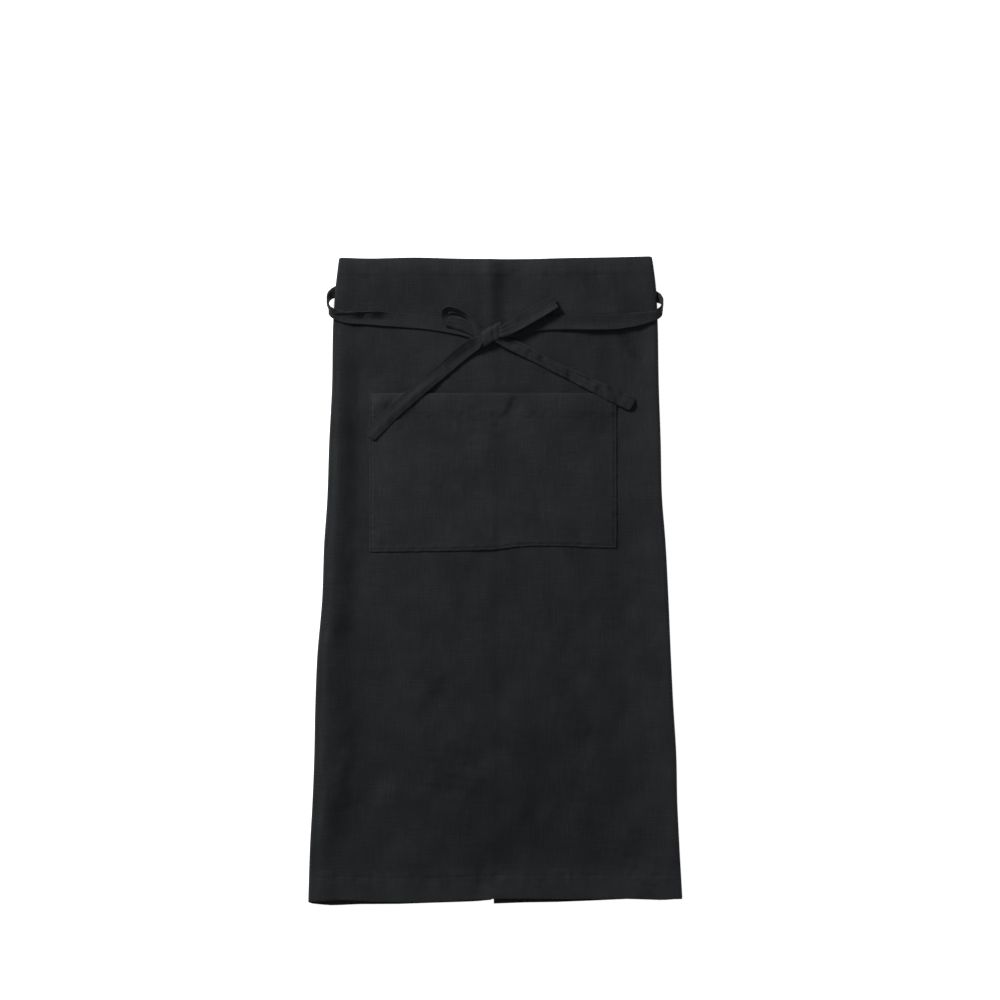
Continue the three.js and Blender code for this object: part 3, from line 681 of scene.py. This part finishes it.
# Painted highlight, with some wear, on the pocket's top hem and along its side edges, with the highlights
# above
wear_and_painted_light = 0.4 * np.exp(-(((down_steps[:, None] - 5) / 4) ** 2)) + 0.2 * np.exp(-((from_edge / 2) ** 2))
wear_and_painted_light = wear_and_painted_light + dented(x - pocket_aside, -pocket_down - y, pocket_painted_highlights)
pocket = two_faced("patch_pocket", outer, inner, cloth_map, wear_and_painted_light)
pocket.data.materials.append(linen("pocket_linen", (0.016, 0.017, 0.019), 0.82))
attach(pocket, "root")
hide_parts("pocket")


# Ties
# Two long ties of the same linen, each turned in on itself and stitched along one edge. They are sewn to
# the waist hem at the back, come round the side folds doubled on edge, and run over the front to the bow.
tie_width = 17.0
tie_wall = 1.2
tie_step = 1.18
under_ties = 0.1
side_reach = 6.5
tie_seam_in = 20.0
tie_stitch = 0.8
bow_across = -8.0
bow_down = 93.0
knot_slope = math.radians(27)
knot_length = 17.0
knot_mouth = 3.0
knot_gather = 0.66
tip_round = 4.5
ring_step = 1.5

side_turn = [
    {"out": -2, "down": 0, "height": 0},
    {"out": -0.35, "down": 0.02, "height": 0.035, "rise": -0.5, "fold": 0.85},
    {"out": 0.5, "down": 0.1, "height": 0.32, "fold": 0.66, "wall": 0.95},
    {"out": 0.85, "down": 0.2, "height": 0.6, "rise": 15, "fold": 0.6, "wall": 0.9},
    {"out": 1.05, "down": 0.36, "height": 0.78, "rise": 55, "fold": 0.6, "wall": 0.9},
    {"out": 0.95, "down": 0.54, "height": 0.98, "rise": 48, "fold": 0.62, "wall": 0.9},
    {"out": 0.5, "down": 0.72, "height": 1.2, "rise": 26, "fold": 0.66, "wall": 0.95},
    {"out": -0.2, "down": 0.86, "height": 1.22, "rise": 12, "fold": 0.66, "wall": 0.95},
    {"out": -1.2, "down": 0.93, "height": 1.12, "rise": 4, "fold": 0.74, "cup": 0.8},
]
left_run = [
    {"along": 0.09, "down": -0.02, "lift": 0.15, "fold": 0.8, "cup": 1.6, "curl": 0.5},
    {"along": 0.143, "down": 0, "lift": 0.1, "fold": 0.84, "cup": 4.0, "curl": 1.5},
    {"along": 0.195, "down": 0.01, "lift": 0.1, "fold": 0.87, "cup": 2.0, "curl": 1.2},
    {"along": 0.26, "down": 0.03, "lift": 0.1, "fold": 0.92, "cup": 5.2, "curl": 1.6},
    {"along": 0.35, "down": 0.07, "lift": 0.1, "fold": 0.98, "cup": 1.2, "curl": 1.2},
    {"along": 0.43, "down": 0.12, "lift": 0.08, "cup": 0.2, "curl": 0.5},
    {"along": 0.57, "down": 0.21, "lift": 0.06, "curl": 0.4},
    {"along": 0.74, "down": 0.42, "lift": 0.1, "curl": 0.8},
    {"along": 0.86, "down": 0.64, "lift": 0.4, "curl": 1},
]
right_run = [
    {"along": 0.07, "down": 0.0, "lift": 0.15, "fold": 0.8, "cup": 1.2},
    {"along": 0.12, "down": 0.08, "lift": 0.05, "rise": -2, "fold": 0.9, "cup": 1.6, "curl": 0.5},
    {"along": 0.17, "down": 0.14, "lift": 0.02, "rise": -2, "cup": 1.2, "curl": 0.8},
    {"along": 0.25, "down": 0.24, "lift": 0.02, "rise": -3, "cup": 1.4, "curl": 1.2},
    {"along": 0.39, "down": 0.27, "lift": 0.02, "rise": -4, "cup": 0.8, "curl": 1.2},
    {"along": 0.55, "down": 0.25, "lift": 0.05, "rise": -3, "cup": 0.5, "curl": 0.8},
    {"along": 0.7, "down": 0.32, "lift": 0.15},
    {"along": 0.85, "down": 0.64, "lift": 0.3},
]
left_loop = [
    {"out": 0.34, "off": 0.2, "lift": 2.4, "run": 80, "rise": 0, "width": 0.7},
    {"out": 0.48, "off": 0.35, "lift": 2.0, "run": 84, "rise": 3, "width": 0.8},
    {"out": 0.66, "off": 0.5, "lift": 1.6, "run": 86, "rise": 4, "width": 0.9},
    {"out": 0.84, "off": 0.58, "lift": 1.4, "run": 80, "rise": 0, "width": 0.9},
    {"out": 0.97, "off": 0.63, "lift": 1.0, "run": 45, "rise": -14, "width": 0.72},
    {"out": 1.02, "off": 0.81, "lift": 0.6, "run": 5, "rise": -30, "width": 0.6},
    {"out": 1.01, "off": 1.01, "lift": 0.4, "run": -35, "rise": -44, "width": 0.58},
    {"out": 0.91, "off": 1.09, "lift": 0.4, "run": -85, "rise": -58, "width": 0.6},
    {"out": 0.72, "off": 1.01, "lift": 0.5, "run": -105, "rise": -62, "width": 0.6},
    {"out": 0.54, "off": 0.86, "lift": 0.8, "run": -112, "rise": -60, "width": 0.56},
    {"out": 0.4, "off": 0.64, "lift": 1.8, "run": -114, "rise": -44, "width": 0.52},
    {"out": 0.29, "off": 0.38, "lift": 3.0, "run": -112, "rise": -20, "width": 0.56},
]
right_loop = [
    {"out": 0.24, "off": 0.15, "lift": 4.4, "run": 106, "rise": -2, "width": 0.8},
    {"out": 0.48, "off": 0.41, "lift": 2.6, "run": 119, "rise": -8},
    {"out": 0.76, "off": 0.72, "lift": 1.7, "run": 119, "rise": -8},
    {"out": 0.94, "off": 0.91, "lift": 1.2, "run": 119, "rise": -9, "width": 0.96},
    {"out": 1, "off": 0.985, "lift": 2.7, "run": 121, "rise": -10, "width": 0.9, "cup": 0.8},
    {"out": 0.94, "off": 0.93, "lift": 4.4, "run": 119, "rise": -10, "width": 0.95, "cup": 1.6, "curl": 0.8},
    {"out": 0.76, "off": 0.73, "lift": 4.1, "run": 119, "rise": -9, "cup": 1.5, "curl": 1.2},
    {"out": 0.48, "off": 0.42, "lift": 4.4, "run": 118, "rise": -8, "cup": 1.2, "curl": 1.3},
    {"out": 0.32, "off": 0.24, "lift": 5.0, "run": 112, "rise": -6, "width": 0.92, "curl": 1},
    {"out": 0.2, "off": 0.13, "lift": 5.6, "run": 106, "rise": -3, "width": 0.8},
]
left_tail = [
    {"out": 0.09, "off": 0.057, "lift": 3.4, "run": 114, "width": 0.9, "curl": 0.6, "cup": 1.8},
    {"out": 0.162, "off": 0.114, "lift": 1.2, "run": 125, "width": 1, "curl": 1.0, "cup": 3.0},
    {"out": 0.26, "off": 0.207, "lift": 0.2, "run": 129, "width": 0.99, "curl": 1.1, "cup": 3.0},
    {"out": 0.35, "off": 0.302, "lift": 0, "run": 129, "width": 0.99, "curl": 1.1, "cup": 2.0, "crown": 0.5},
    {"out": 0.55, "off": 0.502, "lift": 0, "run": 130, "width": 0.98, "curl": 0.6, "cup": 0.5, "crown": 1.7},
    {"out": 0.785, "off": 0.747, "lift": 0, "run": 131, "curl": 0.5, "cup": 0.3, "crown": 1.5},
    {"out": 1, "off": 1, "lift": 0, "run": 132, "curl": 0.3, "cup": 0.2, "crown": 0.8},
]
right_tail = [
    {"out": 0.115, "off": 0.09, "lift": 1.6, "run": 78, "width": 0.74},
    {"out": 0.2, "off": 0.165, "lift": 0.9, "run": 64, "width": 0.86, "curl": 0.5},
    {"out": 0.29, "off": 0.262, "lift": 0.6, "run": 62, "width": 0.84, "cup": 0.6},
    {"out": 0.36, "off": 0.345, "lift": 0.6, "run": 63, "width": 0.76, "cup": 0.4},
    {"out": 0.445, "off": 0.437, "lift": 0.4, "run": 63, "width": 0.74, "cup": 0.9},
    {"out": 0.55, "off": 0.543, "lift": 0.3, "run": 64, "width": 0.8, "cup": 0.3},
    {"out": 0.64, "off": 0.637, "lift": 0.2, "run": 64, "width": 0.85, "cup": 0.9},
    {"out": 0.81, "off": 0.807, "lift": 0, "run": 65, "width": 0.97, "cup": 0.3},
    {"out": 1, "off": 1, "lift": 0, "run": 65},
]


def laid_on(x, y):
    """Highest face under a place on the front: the cloth, or the pocket where it covers the cloth."""
    down = np.clip(-y / apron_length, 0, 1)
    reach = half_width(x, down) - fold_reach
    x = np.clip(x, -reach, reach)
    inside = np.minimum(pocket_width / 2 - np.abs(x - pocket_aside), -pocket_down - y)
    return np.where(inside > 0, pocket_top(x, y), front_top(x, down))


def rest_height(x, y):
    """Height at which a tie rests, raised before it reaches the pocket's edge."""
    spots = np.array([(0, 0), (1, 0), (-1, 0), (0, 1), (0, -1)]) * tie_width / 2
    down = np.clip(-(y + spots[:, 1]) / apron_length, 0, 1)
    under = front_top(x + spots[:, 0], down).max()
    inside = min(pocket_width / 2 - abs(x - pocket_aside), -pocket_down - y)
    rise = pocket_lift + pocket_wall + 0.35
    return float(under + 0.25 + rise * soft_step(inside, -1.2 * tie_width, -0.4 * tie_width))


bow = np.array([bow_across, -bow_down, rest_height(bow_across, -bow_down) + tie_wall / 2])


def in_knot(side, layer, turn=6, run=96):
    """The gathered end of a tie in the knot, on its own layer, from the knot's mouth to its middle."""
    row = {"run": run, "width": knot_gather, "wall": 0.85}
    away = np.array([math.cos(math.radians(turn)), math.sin(math.radians(turn)), 0]) * side
    lift = np.array([0, 0, layer * tie_step])
    return [
        {**row, "place": bow + away * (knot_length / 2 + knot_mouth) + lift},
        {**row, "place": bow + away + lift, "width": 0.6},
    ]


def over_front(x, y, row):
    """Row of a tie that lies over the front: its low edge is lifted by a number of layers."""
    standing = tie_width * row.get("width", 1) / 2 * abs(math.sin(math.radians(row.get("rise", 0))))
    z = rest_height(x, y) + tie_wall / 2 + standing + row["lift"] * tie_step
    return {**row, "place": np.array([x, y, z])}


tie_linen = linen("tie_linen", (0.0147, 0.0157, 0.0178), 0.78)


def tie_rings(rows, rounded_end, crumple, seed):
    """Rings of points round a tie that follows rows of places, and the running length of each ring."""
    places = np.array([row["place"] for row in rows])
    knots = np.concatenate([[0], np.cumsum(np.linalg.norm(np.diff(places, axis=0), axis=1) ** 0.5)])
    fine = np.linspace(0, knots[-1], 2000)
    steps = np.diff(curve(fine, knots, places), axis=0)
    run = np.concatenate([[0], np.cumsum(np.linalg.norm(steps, axis=1))])
    stations = np.linspace(0, run[-1], max(8, round(run[-1] / ring_step)))
    if rounded_end:
        close = run[-1] - tip_round * (1 - np.sin(np.linspace(0, math.pi / 2, 7))[1:])
        before = stations[stations < run[-1] - tip_round * 1.1]
        stations = np.concatenate([before, [run[-1] - tip_round], close])
    at = np.interp(stations, run, fine)
    middle = curve(at, knots, places)

    def column(name, usual):
        return curve(at, knots, [row.get(name, usual) for row in rows])

    heading, rise = np.radians(column("run", 90)), np.radians(column("rise", 0))
    tangent = np.gradient(middle, stations, axis=0)
    tangent /= np.linalg.norm(tangent, axis=1, keepdims=True)
    flat = np.cos(rise)
    breadth = np.stack([np.cos(heading) * flat, np.sin(heading) * flat, np.sin(rise)], -1)
    breadth -= tangent * (breadth * tangent).sum(1, keepdims=True)
    breadth /= np.linalg.norm(breadth, axis=1, keepdims=True)
    above = np.cross(tangent, breadth)

    half = tie_width / 2
    width = np.clip(column("width", 1), 0.4, 1.02)[:, None]
    fold = np.clip(column("fold", 1), 0.5, 1)[:, None]
    cup = np.clip(column("cup", 0), 0, None)[:, None]
    curl = np.clip(column("curl", 0), 0, None)[:, None]
    crown = np.clip(column("crown", 0), 0, None)[:, None]
    gather = np.clip((0.98 - width) / 0.3, 0, 1)
    edge = np.array([-1, -0.985, -0.95, -0.89, -0.8, -0.68, -0.52, -0.35, -0.17])
    share = np.concatenate([edge, [0], -edge[::-1]])
    narrow = np.ones(len(stations))
    if rounded_end:
        to_end = np.clip((run[-1] - stations) / tip_round, 0, 1)
        narrow = 1 - (tip_round / half) * (1 - np.sqrt(np.clip(1 - (1 - to_end) ** 2, 0, 1)))
    across = share * half * narrow[:, None]
    rounding = np.sqrt(np.clip(1 - np.clip((np.abs(share) - 0.93) / 0.07, 0, 1) ** 2, 0, 1))
    thick = np.clip(column("wall", 1), 0.85, 1)[:, None] * tie_wall / 2 * rounding

    bend = 0.8
    crease = ((2 * fold - 1) + 0.13 * fold**10) * half - bend
    turn = np.clip((across - crease) / bend, 0, math.pi)
    doubled = np.clip(across - crease - math.pi * bend, 0, None)
    flat_b = np.minimum(across, crease) + bend * np.sin(turn) - doubled
    flat_b = flat_b - np.minimum(0, (crease + bend - half) / 2)
    flat_h = bend * (1 - np.cos(turn))
    leaning = above[:, 2:3]
    lying = leaning**2
    ripple = ripples(stations[:, None] + 0.4 * across, 0.55 * across, 10, 30, seed)
    fine_ripple = ripples(stations[:, None] - 0.8 * across, across, 5, 11, seed + 1)
    raised = crumple * np.clip(0.7 + ripple, 0, 1.8) + 0.12 * crumple * np.clip(0.5 + fine_ripple, 0, 1.5)
    raised = raised * (1 - 0.35 * np.abs(share)) * (1 - np.clip((1 - fold) * 4, 0, 1))
    waver = 0.6 * np.sin(stations[:, None] / 7)
    pleat = gather * (1 - gather) * 3.2 * (0.5 + 0.5 * np.cos(3 * math.pi * share + waver))
    lowest, highest = flat_b.min(1, keepdims=True), flat_b.max(1, keepdims=True)
    aside = 2 * (flat_b - lowest) / (highest - lowest) - 1
    hollow_in = cup * np.clip(aside + 0.2, 0, 1.2) ** 1.4 + curl * np.clip(-aside - 0.1, 0, 1) ** 1.3
    hollow_in = hollow_in + crown * np.exp(-(((aside + 0.25) / 0.5) ** 2))
    groove = -0.14 * np.exp(-(((share - tie_stitch) * half / 0.7) ** 2))
    height = (raised * lying + pleat + hollow_in) * np.sign(leaning) + flat_h
    b = flat_b * width
    out_b, out_h = -np.sin(turn), np.cos(turn)
    grids = []
    for face in (1, -1):
        reach = face * (thick + groove * (thick > 0.3))
        aside_part = (b + out_b * reach)[..., None] * breadth[:, None]
        upper_part = (height + out_h * reach)[..., None] * above[:, None]
        grids.append(middle[:, None] + (aside_part + upper_part))
    return grids[0], grids[1], stations, across


def settle(top, bottom, free):
    """Raises a tie just enough to clear the cloth under it; free is how much of it isn't over the front."""
    low = np.minimum(top[..., 2], bottom[..., 2])
    need = (laid_on(top[..., 0], top[..., 1]) + 0.08 - low).max(1) * (1 - free)
    need = np.maximum(need, (0.05 - low).max(1))
    need = np.clip(need, 0, None)
    spread = np.array([need[max(0, i - 4) : i + 5].max() for i in range(len(need))])
    weights = np.exp(-((np.arange(-5, 6) / 2.5) ** 2))
    smooth = np.convolve(np.pad(spread, 5, mode="edge"), weights / weights.sum(), mode="valid")
    lift = np.stack([0 * smooth, 0 * smooth, smooth], -1)[:, None]
    return top + lift, bottom + lift


def tie_piece(node, rows, spare, rounded_end, crumple, seed, over_from=None):
    """A length of tie as a closed strap, with its place in the apron."""
    top, bottom, stations, across = tie_rings(rows, rounded_end, crumple, seed)
    free = np.zeros(len(stations))
    if over_from is not None:
        free = np.clip((over_from - np.arange(len(stations)) * ring_step) / 10, 0, 1)
    top, bottom = settle(top, bottom, free)
    rings, wide = top.shape[:2]
    ring = np.concatenate([top, bottom[:, -2:0:-1]], 1)
    around = ring.shape[1]
    index = np.arange(rings * around).reshape(rings, around)
    after = np.roll(index, -1, 1)
    faces = np.stack([index[:-1], after[:-1], after[1:], index[1:]], -1).reshape(-1, 4).tolist()
    for row, turned in ((index[0], True), (index[-1], False)):
        mate = np.concatenate([row[:1], row[:wide - 1:-1], row[wide - 1 : wide]])
        for k in range(wide - 1):
            corner = [row[k], row[k + 1], mate[k + 1], mate[k]]
            corner = [int(c) for i, c in enumerate(corner) if c not in corner[:i]]
            if len(corner) > 2:
                faces.append(corner[::-1] if turned else corner)
    place = np.concatenate([across, across[:, -2:0:-1]], 1)
    cloth_map = np.stack([place + spare, np.broadcast_to(stations[:, None], place.shape)], -1) * MM
    piece = make_mesh(node + "_cloth", ring.reshape(-1, 3), faces, cloth_map.reshape(-1, 2))
    piece.data.materials.append(tie_linen)
    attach(piece, "root")
    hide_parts(node)
    tie_length = round(stations[-1] * MM, 4)
    return top, bottom


def run_rows(side, seam_down, back_down, front_down, run):
    """A tie from its seam on the far back flap, under the near flap, round the fold and to the knot."""
    lowest = under_ties + tie_wall / 2

    def edge(down):
        return side * float(half_width(np.array(float(side)), np.array(down / apron_length)))

    def on_surface(x, down):
        return {"place": np.array([x, -down, lowest])}

    seam = slit_aside - side * (slit_width / 2 + tie_seam_in)
    beyond = slit_aside + side * tie_seam_in
    half_way = (beyond + edge(back_down)) / 2
    rows = [
        on_surface(seam, seam_down),
        on_surface(beyond, seam_down + 1),
        on_surface(half_way, seam_down + 0.45 * (back_down - seam_down)),
    ]
    for row in side_turn:
        fall = back_down + row["down"] * (front_down - back_down)
        fold = edge(fall)
        front = rest_height(fold - side * fold_reach, -fall)
        place = np.array([fold + side * row["out"] * side_reach, -fall, lowest + row["height"] * front])
        rows.append({**row, "place": place})
    for row in run:
        x = edge(front_down) + row["along"] * (bow_across - edge(front_down))
        rows.append(over_front(x, -(front_down + row["down"] * (bow_down - front_down)), row))
    return rows + in_knot(side, 1)


def bow_rows(side, reach, rise, table):
    return [over_front(bow[0] + side * row["out"] * reach, bow[1] + row["off"] * rise, row) for row in table]


left_rows = run_rows(-1, 11, 39, 71, left_run)
right_rows = run_rows(1, 32, 45, 71, right_run)
left_loop_rows = in_knot(-1, 2, -14, 82)[::-1] + bow_rows(-1, 52, 30, left_loop) + in_knot(-1, 3, -26, -110)
right_loop_rows = in_knot(1, 3, 14)[::-1] + bow_rows(1, 80, 41, right_loop) + in_knot(1, 4, 24)
right_tail_rows = in_knot(1, 2, -14)[::-1] + bow_rows(1, 173, -82, right_tail)
left_tail_rows = in_knot(-1, 4, 26)[::-1] + bow_rows(-1, 144, -120, left_tail)
tie_faces = [
    tie_piece("tie_run_left", left_rows, 100, False, 0.12, 41, over_from=250),
    tie_piece("tie_run_right", right_rows, 140, False, 0.12, 43, over_from=250),
    tie_piece("bow_loop_left", left_loop_rows, 180, False, 0.25, 45),
    tie_piece("bow_loop_right", right_loop_rows, 220, False, 0.25, 47),
    tie_piece("tie_tail_right", right_tail_rows, 260, True, 1.2, 49),
    tie_piece("tie_tail_left", left_tail_rows, 300, True, 0.4, 51),
]


# Knot
# The tie wound once round the gathered middle of the bow, its turned-in cloth pleated by the pull, so
# that it stands up in soft ridges over the layers that it holds.
knot_high = 2.65
knot_reach = 13.4
knot_across = tie_width * (knot_gather / 2 + 0.155) + tie_wall / 2
knot_along = np.array([math.cos(knot_slope), math.sin(knot_slope), 0])
knot_middle = bow + np.array([0.6, 0.6, 2.8]) + 2.8 * knot_along
knot_aside = np.array([-0.12, 1, 0])
turns = np.linspace(0, 2 * math.pi, 73)[:-1, None]
along = np.array([-1, -0.97, -0.9, *np.linspace(-0.8, 0.8, 17), 0.9, 0.97, 1])[None]
squareness = 2.4
grids = []
for face in (1, -1):
    rim = np.sqrt(np.clip(1 - np.clip((np.abs(along) - 0.9) / 0.1, 0, 1) ** 2, 0, 1))
    grow = face * tie_wall / 2 * (0.35 + 0.65 * rim)
    upper = np.clip(np.sin(turns) + 0.6, 0, 1)
    furrow = along - 0.2 - 0.1 * np.cos(turns)
    puffs = 1.1 * (1 - along**2) - 0.9 * np.exp(-((furrow / 0.19) ** 2))
    pleats = 0.28 * np.cos(3.1 * math.pi * along + 0.9 * np.cos(turns) + 0.5) * (1 - along**4)
    pleats = pleats + 0.3 * ripples(4 * along, 6 * np.cos(turns), 5, 12, 61)
    reach = grow + upper * (puffs + pleats - 0.9 * np.abs(along) ** 3)
    cosine = np.sign(np.cos(turns)) * np.abs(np.cos(turns)) ** (2 / squareness)
    sine = np.sign(np.sin(turns)) * np.abs(np.sin(turns)) ** (2 / squareness)
    pinch = 1 - 0.06 * np.cos(math.pi * along)
    place = (
        knot_middle
        + knot_along * ((along + 0 * turns) * knot_reach)[..., None]
        + knot_aside * ((knot_across * pinch + reach) * cosine)[..., None]
        + np.array([0, 0, 1.0]) * ((knot_high + reach) * sine)[..., None]
    )
    grids.append(place)
rings, wide = grids[0].shape[:2]
ring = np.concatenate([grids[0], grids[1][:, ::-1]], 1)
around = ring.shape[1]
index = np.arange(rings * around).reshape(rings, around)
across_next = np.roll(index, -1, 1)
turn_next = np.roll(index, -1, 0)
both_next = np.roll(across_next, -1, 0)
faces = np.stack([index, across_next, both_next, turn_next], -1).reshape(-1, 4).tolist()
wound = np.arange(rings)[:, None] * 0.76 + 0 * along
sideways = along * knot_reach + 340 + 0 * turns
cloth_map = np.stack([sideways, wound], -1)
cloth_map = np.concatenate([cloth_map, cloth_map[:, ::-1]], 1).reshape(-1, 2) * MM
knot = make_mesh("bow_knot_cloth", ring.reshape(-1, 3), faces, cloth_map)
knot.data.materials.append(tie_linen)
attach(knot, "root")
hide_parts("bow_knot")


# Stitches
# Rows of matt black thread sewn through the turned hems, round the pocket and along the ties, each
# stitch a short bar of thread lying in the groove that its pull makes in the linen.
stitch_pitch = 3.0
stitch_long = 2.1
stitch_wide = 0.42
stitch_high = 0.3
stitch_start = 1.2
side_points = 120

bpy.ops.mesh.primitive_uv_sphere_add(segments=6, ring_count=4, radius=0.5)
one_stitch = bpy.context.active_object
bpy.ops.object.mode_set(mode="EDIT")
bpy.ops.mesh.select_all(action="SELECT")
bpy.ops.transform.rotate(value=math.pi / 2, orient_axis="Y", center_override=(0, 0, 0))
bpy.ops.transform.resize(value=(stitch_long, stitch_wide, stitch_high), center_override=(0, 0, 0))
bpy.ops.object.mode_set(mode="OBJECT")
stitch_points = np.array([vertex.co for vertex in one_stitch.data.vertices])
stitch_faces = [list(polygon.vertices) for polygon in one_stitch.data.polygons]
bpy.data.objects.remove(one_stitch)

thread = bpy.data.materials.new("sewing_thread")
thread.use_nodes = True
thread_shader = thread.node_tree.nodes["Principled BSDF"]
thread_shader.inputs["Specular IOR Level"].default_value = 0.25
thread_place = Dye(thread.node_tree.nodes.new("ShaderNodeTexCoord").outputs["Object"])
twist = thread_place.node("ShaderNodeTexNoise", {}, {"Vector": thread_place, "Scale": 2600.0, "Detail": 1.0})
thread_ramp = {"stops": [(0.3, (0.006, 0.0065, 0.0075, 1)), (0.7, (0.02, 0.0212, 0.0235, 1))]}
thread_tone = twist.node("ShaderNodeValToRGB", thread_ramp, {0: twist})
thread.node_tree.links.new(thread_tone.socket, thread_shader.inputs["Base Color"])
thread.node_tree.links.new((0.62 + 0.2 * twist).socket, thread_shader.inputs["Roughness"])


def at_lengths(at, run, values):
    """A path's values, read at running lengths along it."""
    return np.stack([np.interp(at, run, values[:, i]) for i in range(3)], -1)


def stitch_row(path, above):
    """Places and directions of the stitches along a path of points in mm."""
    run = np.concatenate([[0], np.cumsum(np.linalg.norm(np.diff(path, axis=0), axis=1))])
    at = np.arange(stitch_start + stitch_long / 2, run[-1] - stitch_long / 2, stitch_pitch)
    middle = at_lengths(at, run, path)
    high = at_lengths(at, run, above)
    along = at_lengths(at + 1, run, path) - at_lengths(at - 1, run, path)
    along /= np.linalg.norm(along, axis=1, keepdims=True)
    high = high - along * (high * along).sum(1, keepdims=True)
    high /= np.linalg.norm(high, axis=1, keepdims=True)
    return middle + 0.06 * high, along, np.cross(high, along), high


def sew(name, rows):
    """All the stitches of a piece as one mesh."""
    middle, along, wide, high = (np.concatenate(part) for part in zip(*rows))
    shape = stitch_points[None]
    points = middle[:, None] + shape[..., :1] * along[:, None]
    points = points + shape[..., 1:2] * wide[:, None] + shape[..., 2:] * high[:, None]
    step = len(stitch_points)
    faces = [[corner + i * step for corner in face] for i in range(len(middle)) for face in stitch_faces]
    flat = np.zeros((len(middle) * step, 2))
    sewn = make_mesh(name, points, faces, flat)
    sewn.data.materials.append(thread)
    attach(sewn, "root")
    return sewn


def front_point(x, from_top):
    """Place on the front at a distance from the waist edge."""
    down = from_top / apron_length + 0 * x
    across = x / half_width(x, down)
    top = top_wave * read(top_line, "across", across, "rise")
    foot = -apron_length - hem_wave * read(front_hem, "across", across, "drop")
    y = top + (foot - top) * down
    return np.stack([x, y, front_top(x, down)], -1)


def upward(path):
    return np.broadcast_to((0.0, 0.0, 1.0), path.shape)


rows = []
for from_top in (top_hem - stitch_inset, apron_length - bottom_hem + stitch_inset):
    reach = float(half_width(np.array(1.0), np.array(from_top / apron_length))) - 5
    path = front_point(np.linspace(-reach, reach, 320), from_top)
    rows.append(stitch_row(path, upward(path)))
    for side, table in ((-1, left_flap_hem), (1, right_flap_hem)):
        x = np.linspace(slit_aside + side * 2.5, side * reach, 160)
        down = from_top / apron_length + 0 * x
        top = top_wave * read(top_line, "across", x / half_width(x, down), "rise") - back_tuck
        foot = -apron_length - hem_wave * read(table, "across", x / half_width(x, down), "drop")
        path = np.stack([x, top + (foot - top) * down, flap_face(x, down, side)], -1)
        rows.append(stitch_row(path, -upward(path)))
for side in (-1, 1):
    y = -np.linspace(2, apron_length - 3, 300)
    x = slit_aside + side * (slit_width / 2 + flap_hem - stitch_inset) + 0 * y
    path = np.stack([x, y, flap_face(x, -y / apron_length, side)], -1)
    rows.append(stitch_row(path, -upward(path)))
sew("hem_stitches", rows)

left = pocket_aside - pocket_width / 2 + pocket_stitch
right = pocket_aside + pocket_width / 2 - pocket_stitch
x = np.linspace(left, right, 240)
across = (x - pocket_aside) / (pocket_width / 2)
foot = pocket_height + pocket_slant * read(pocket_foot, "across", across, "drop")
seam = foot - pocket_stitch
left_seam = np.linspace(1, seam[0], side_points)[:-1]
right_seam = np.linspace(seam[-1], 1, side_points)[1:]
sewn_down = np.concatenate([left_seam, seam, right_seam])
sewn_x = np.concatenate([left + 0 * left_seam, x, right + 0 * right_seam])
path = np.stack([sewn_x, -pocket_down - sewn_down, pocket_top(sewn_x, -pocket_down - sewn_down)], -1)
rows = [stitch_row(path, upward(path))]
hem_y = -pocket_down - pocket_hem + stitch_inset + 0 * x
path = np.stack([x, hem_y, pocket_top(x, hem_y)], -1)
rows.append(stitch_row(path, upward(path)))
sew("pocket_stitches", rows)

rows = []
for top, bottom in tie_faces:
    column = top.shape[1] - 5
    for face, other in ((top, bottom), (bottom, top)):
        normal = faces_out(face)[:, column]
        outward = (face - other)[:, column]
        normal = normal * np.sign((normal * outward).sum(1, keepdims=True))
        rows.append(stitch_row(face[:, column], normal))
sew("tie_stitches", rows)


# Floor, light and camera
# A plain white floor under a broad soft light from the upper left and a pale surround, with the camera
# straight above the apron, as the photograph was taken.
mm_per_pixel = 1.2
frame_pixels = 1000
centre_column = 495.5
top_row = 258.9
frame_width = frame_pixels * mm_per_pixel
view_x = (frame_pixels / 2 - centre_column) * mm_per_pixel + CENTRE_LINE
view_y = -(frame_pixels / 2 - top_row) * mm_per_pixel + top_edge
front_height = 6.0
lens = 90.0
sensor = 36.0

bpy.ops.mesh.primitive_plane_add(size=12, location=(0, 0, -0.0004))
floor = bpy.context.active_object
floor.name = "floor"
paper = bpy.data.materials.new("floor_paper")
paper.use_nodes = True
paper_shader = paper.node_tree.nodes["Principled BSDF"]
paper_shader.inputs["Base Color"].default_value = (0.92, 0.92, 0.92, 1)
paper_shader.inputs["Roughness"].default_value = 0.9
paper_shader.inputs["Specular IOR Level"].default_value = 0.1
paper_shader.inputs["Emission Color"].default_value = (1, 1, 1, 1)
paper_shader.inputs["Emission Strength"].default_value = 0.85
floor.data.materials.append(paper)

camera_data = bpy.data.cameras.new("camera")
camera_data.lens = lens
camera_data.sensor_width = sensor
camera = bpy.data.objects.new("camera", camera_data)
bpy.context.collection.objects.link(camera)
camera_up = frame_width * MM * lens / sensor + front_height * MM
camera.location = (view_x * MM, view_y * MM, camera_up)
camera_data.clip_end = 50
bpy.context.scene.camera = camera

key_data = bpy.data.lights.new("key", "AREA")
key_data.shape = "DISK"
key_data.size = 0.6
key_data.energy = 66
key = bpy.data.objects.new("key", key_data)
bpy.context.collection.objects.link(key)
key.location = (-1.4, 1.75, 1.35)
key.rotation_euler = (Vector((0, -0.1, 0)) - key.location).to_track_quat("-Z", "Y").to_euler()

world = bpy.data.worlds.new("surround")
bpy.context.scene.world = world
world.use_nodes = True
world.node_tree.nodes["Background"].inputs[0].default_value = (1, 1, 1, 1)
world.node_tree.nodes["Background"].inputs[1].default_value = 0.25
bpy.context.scene.view_settings.view_transform = "Standard"
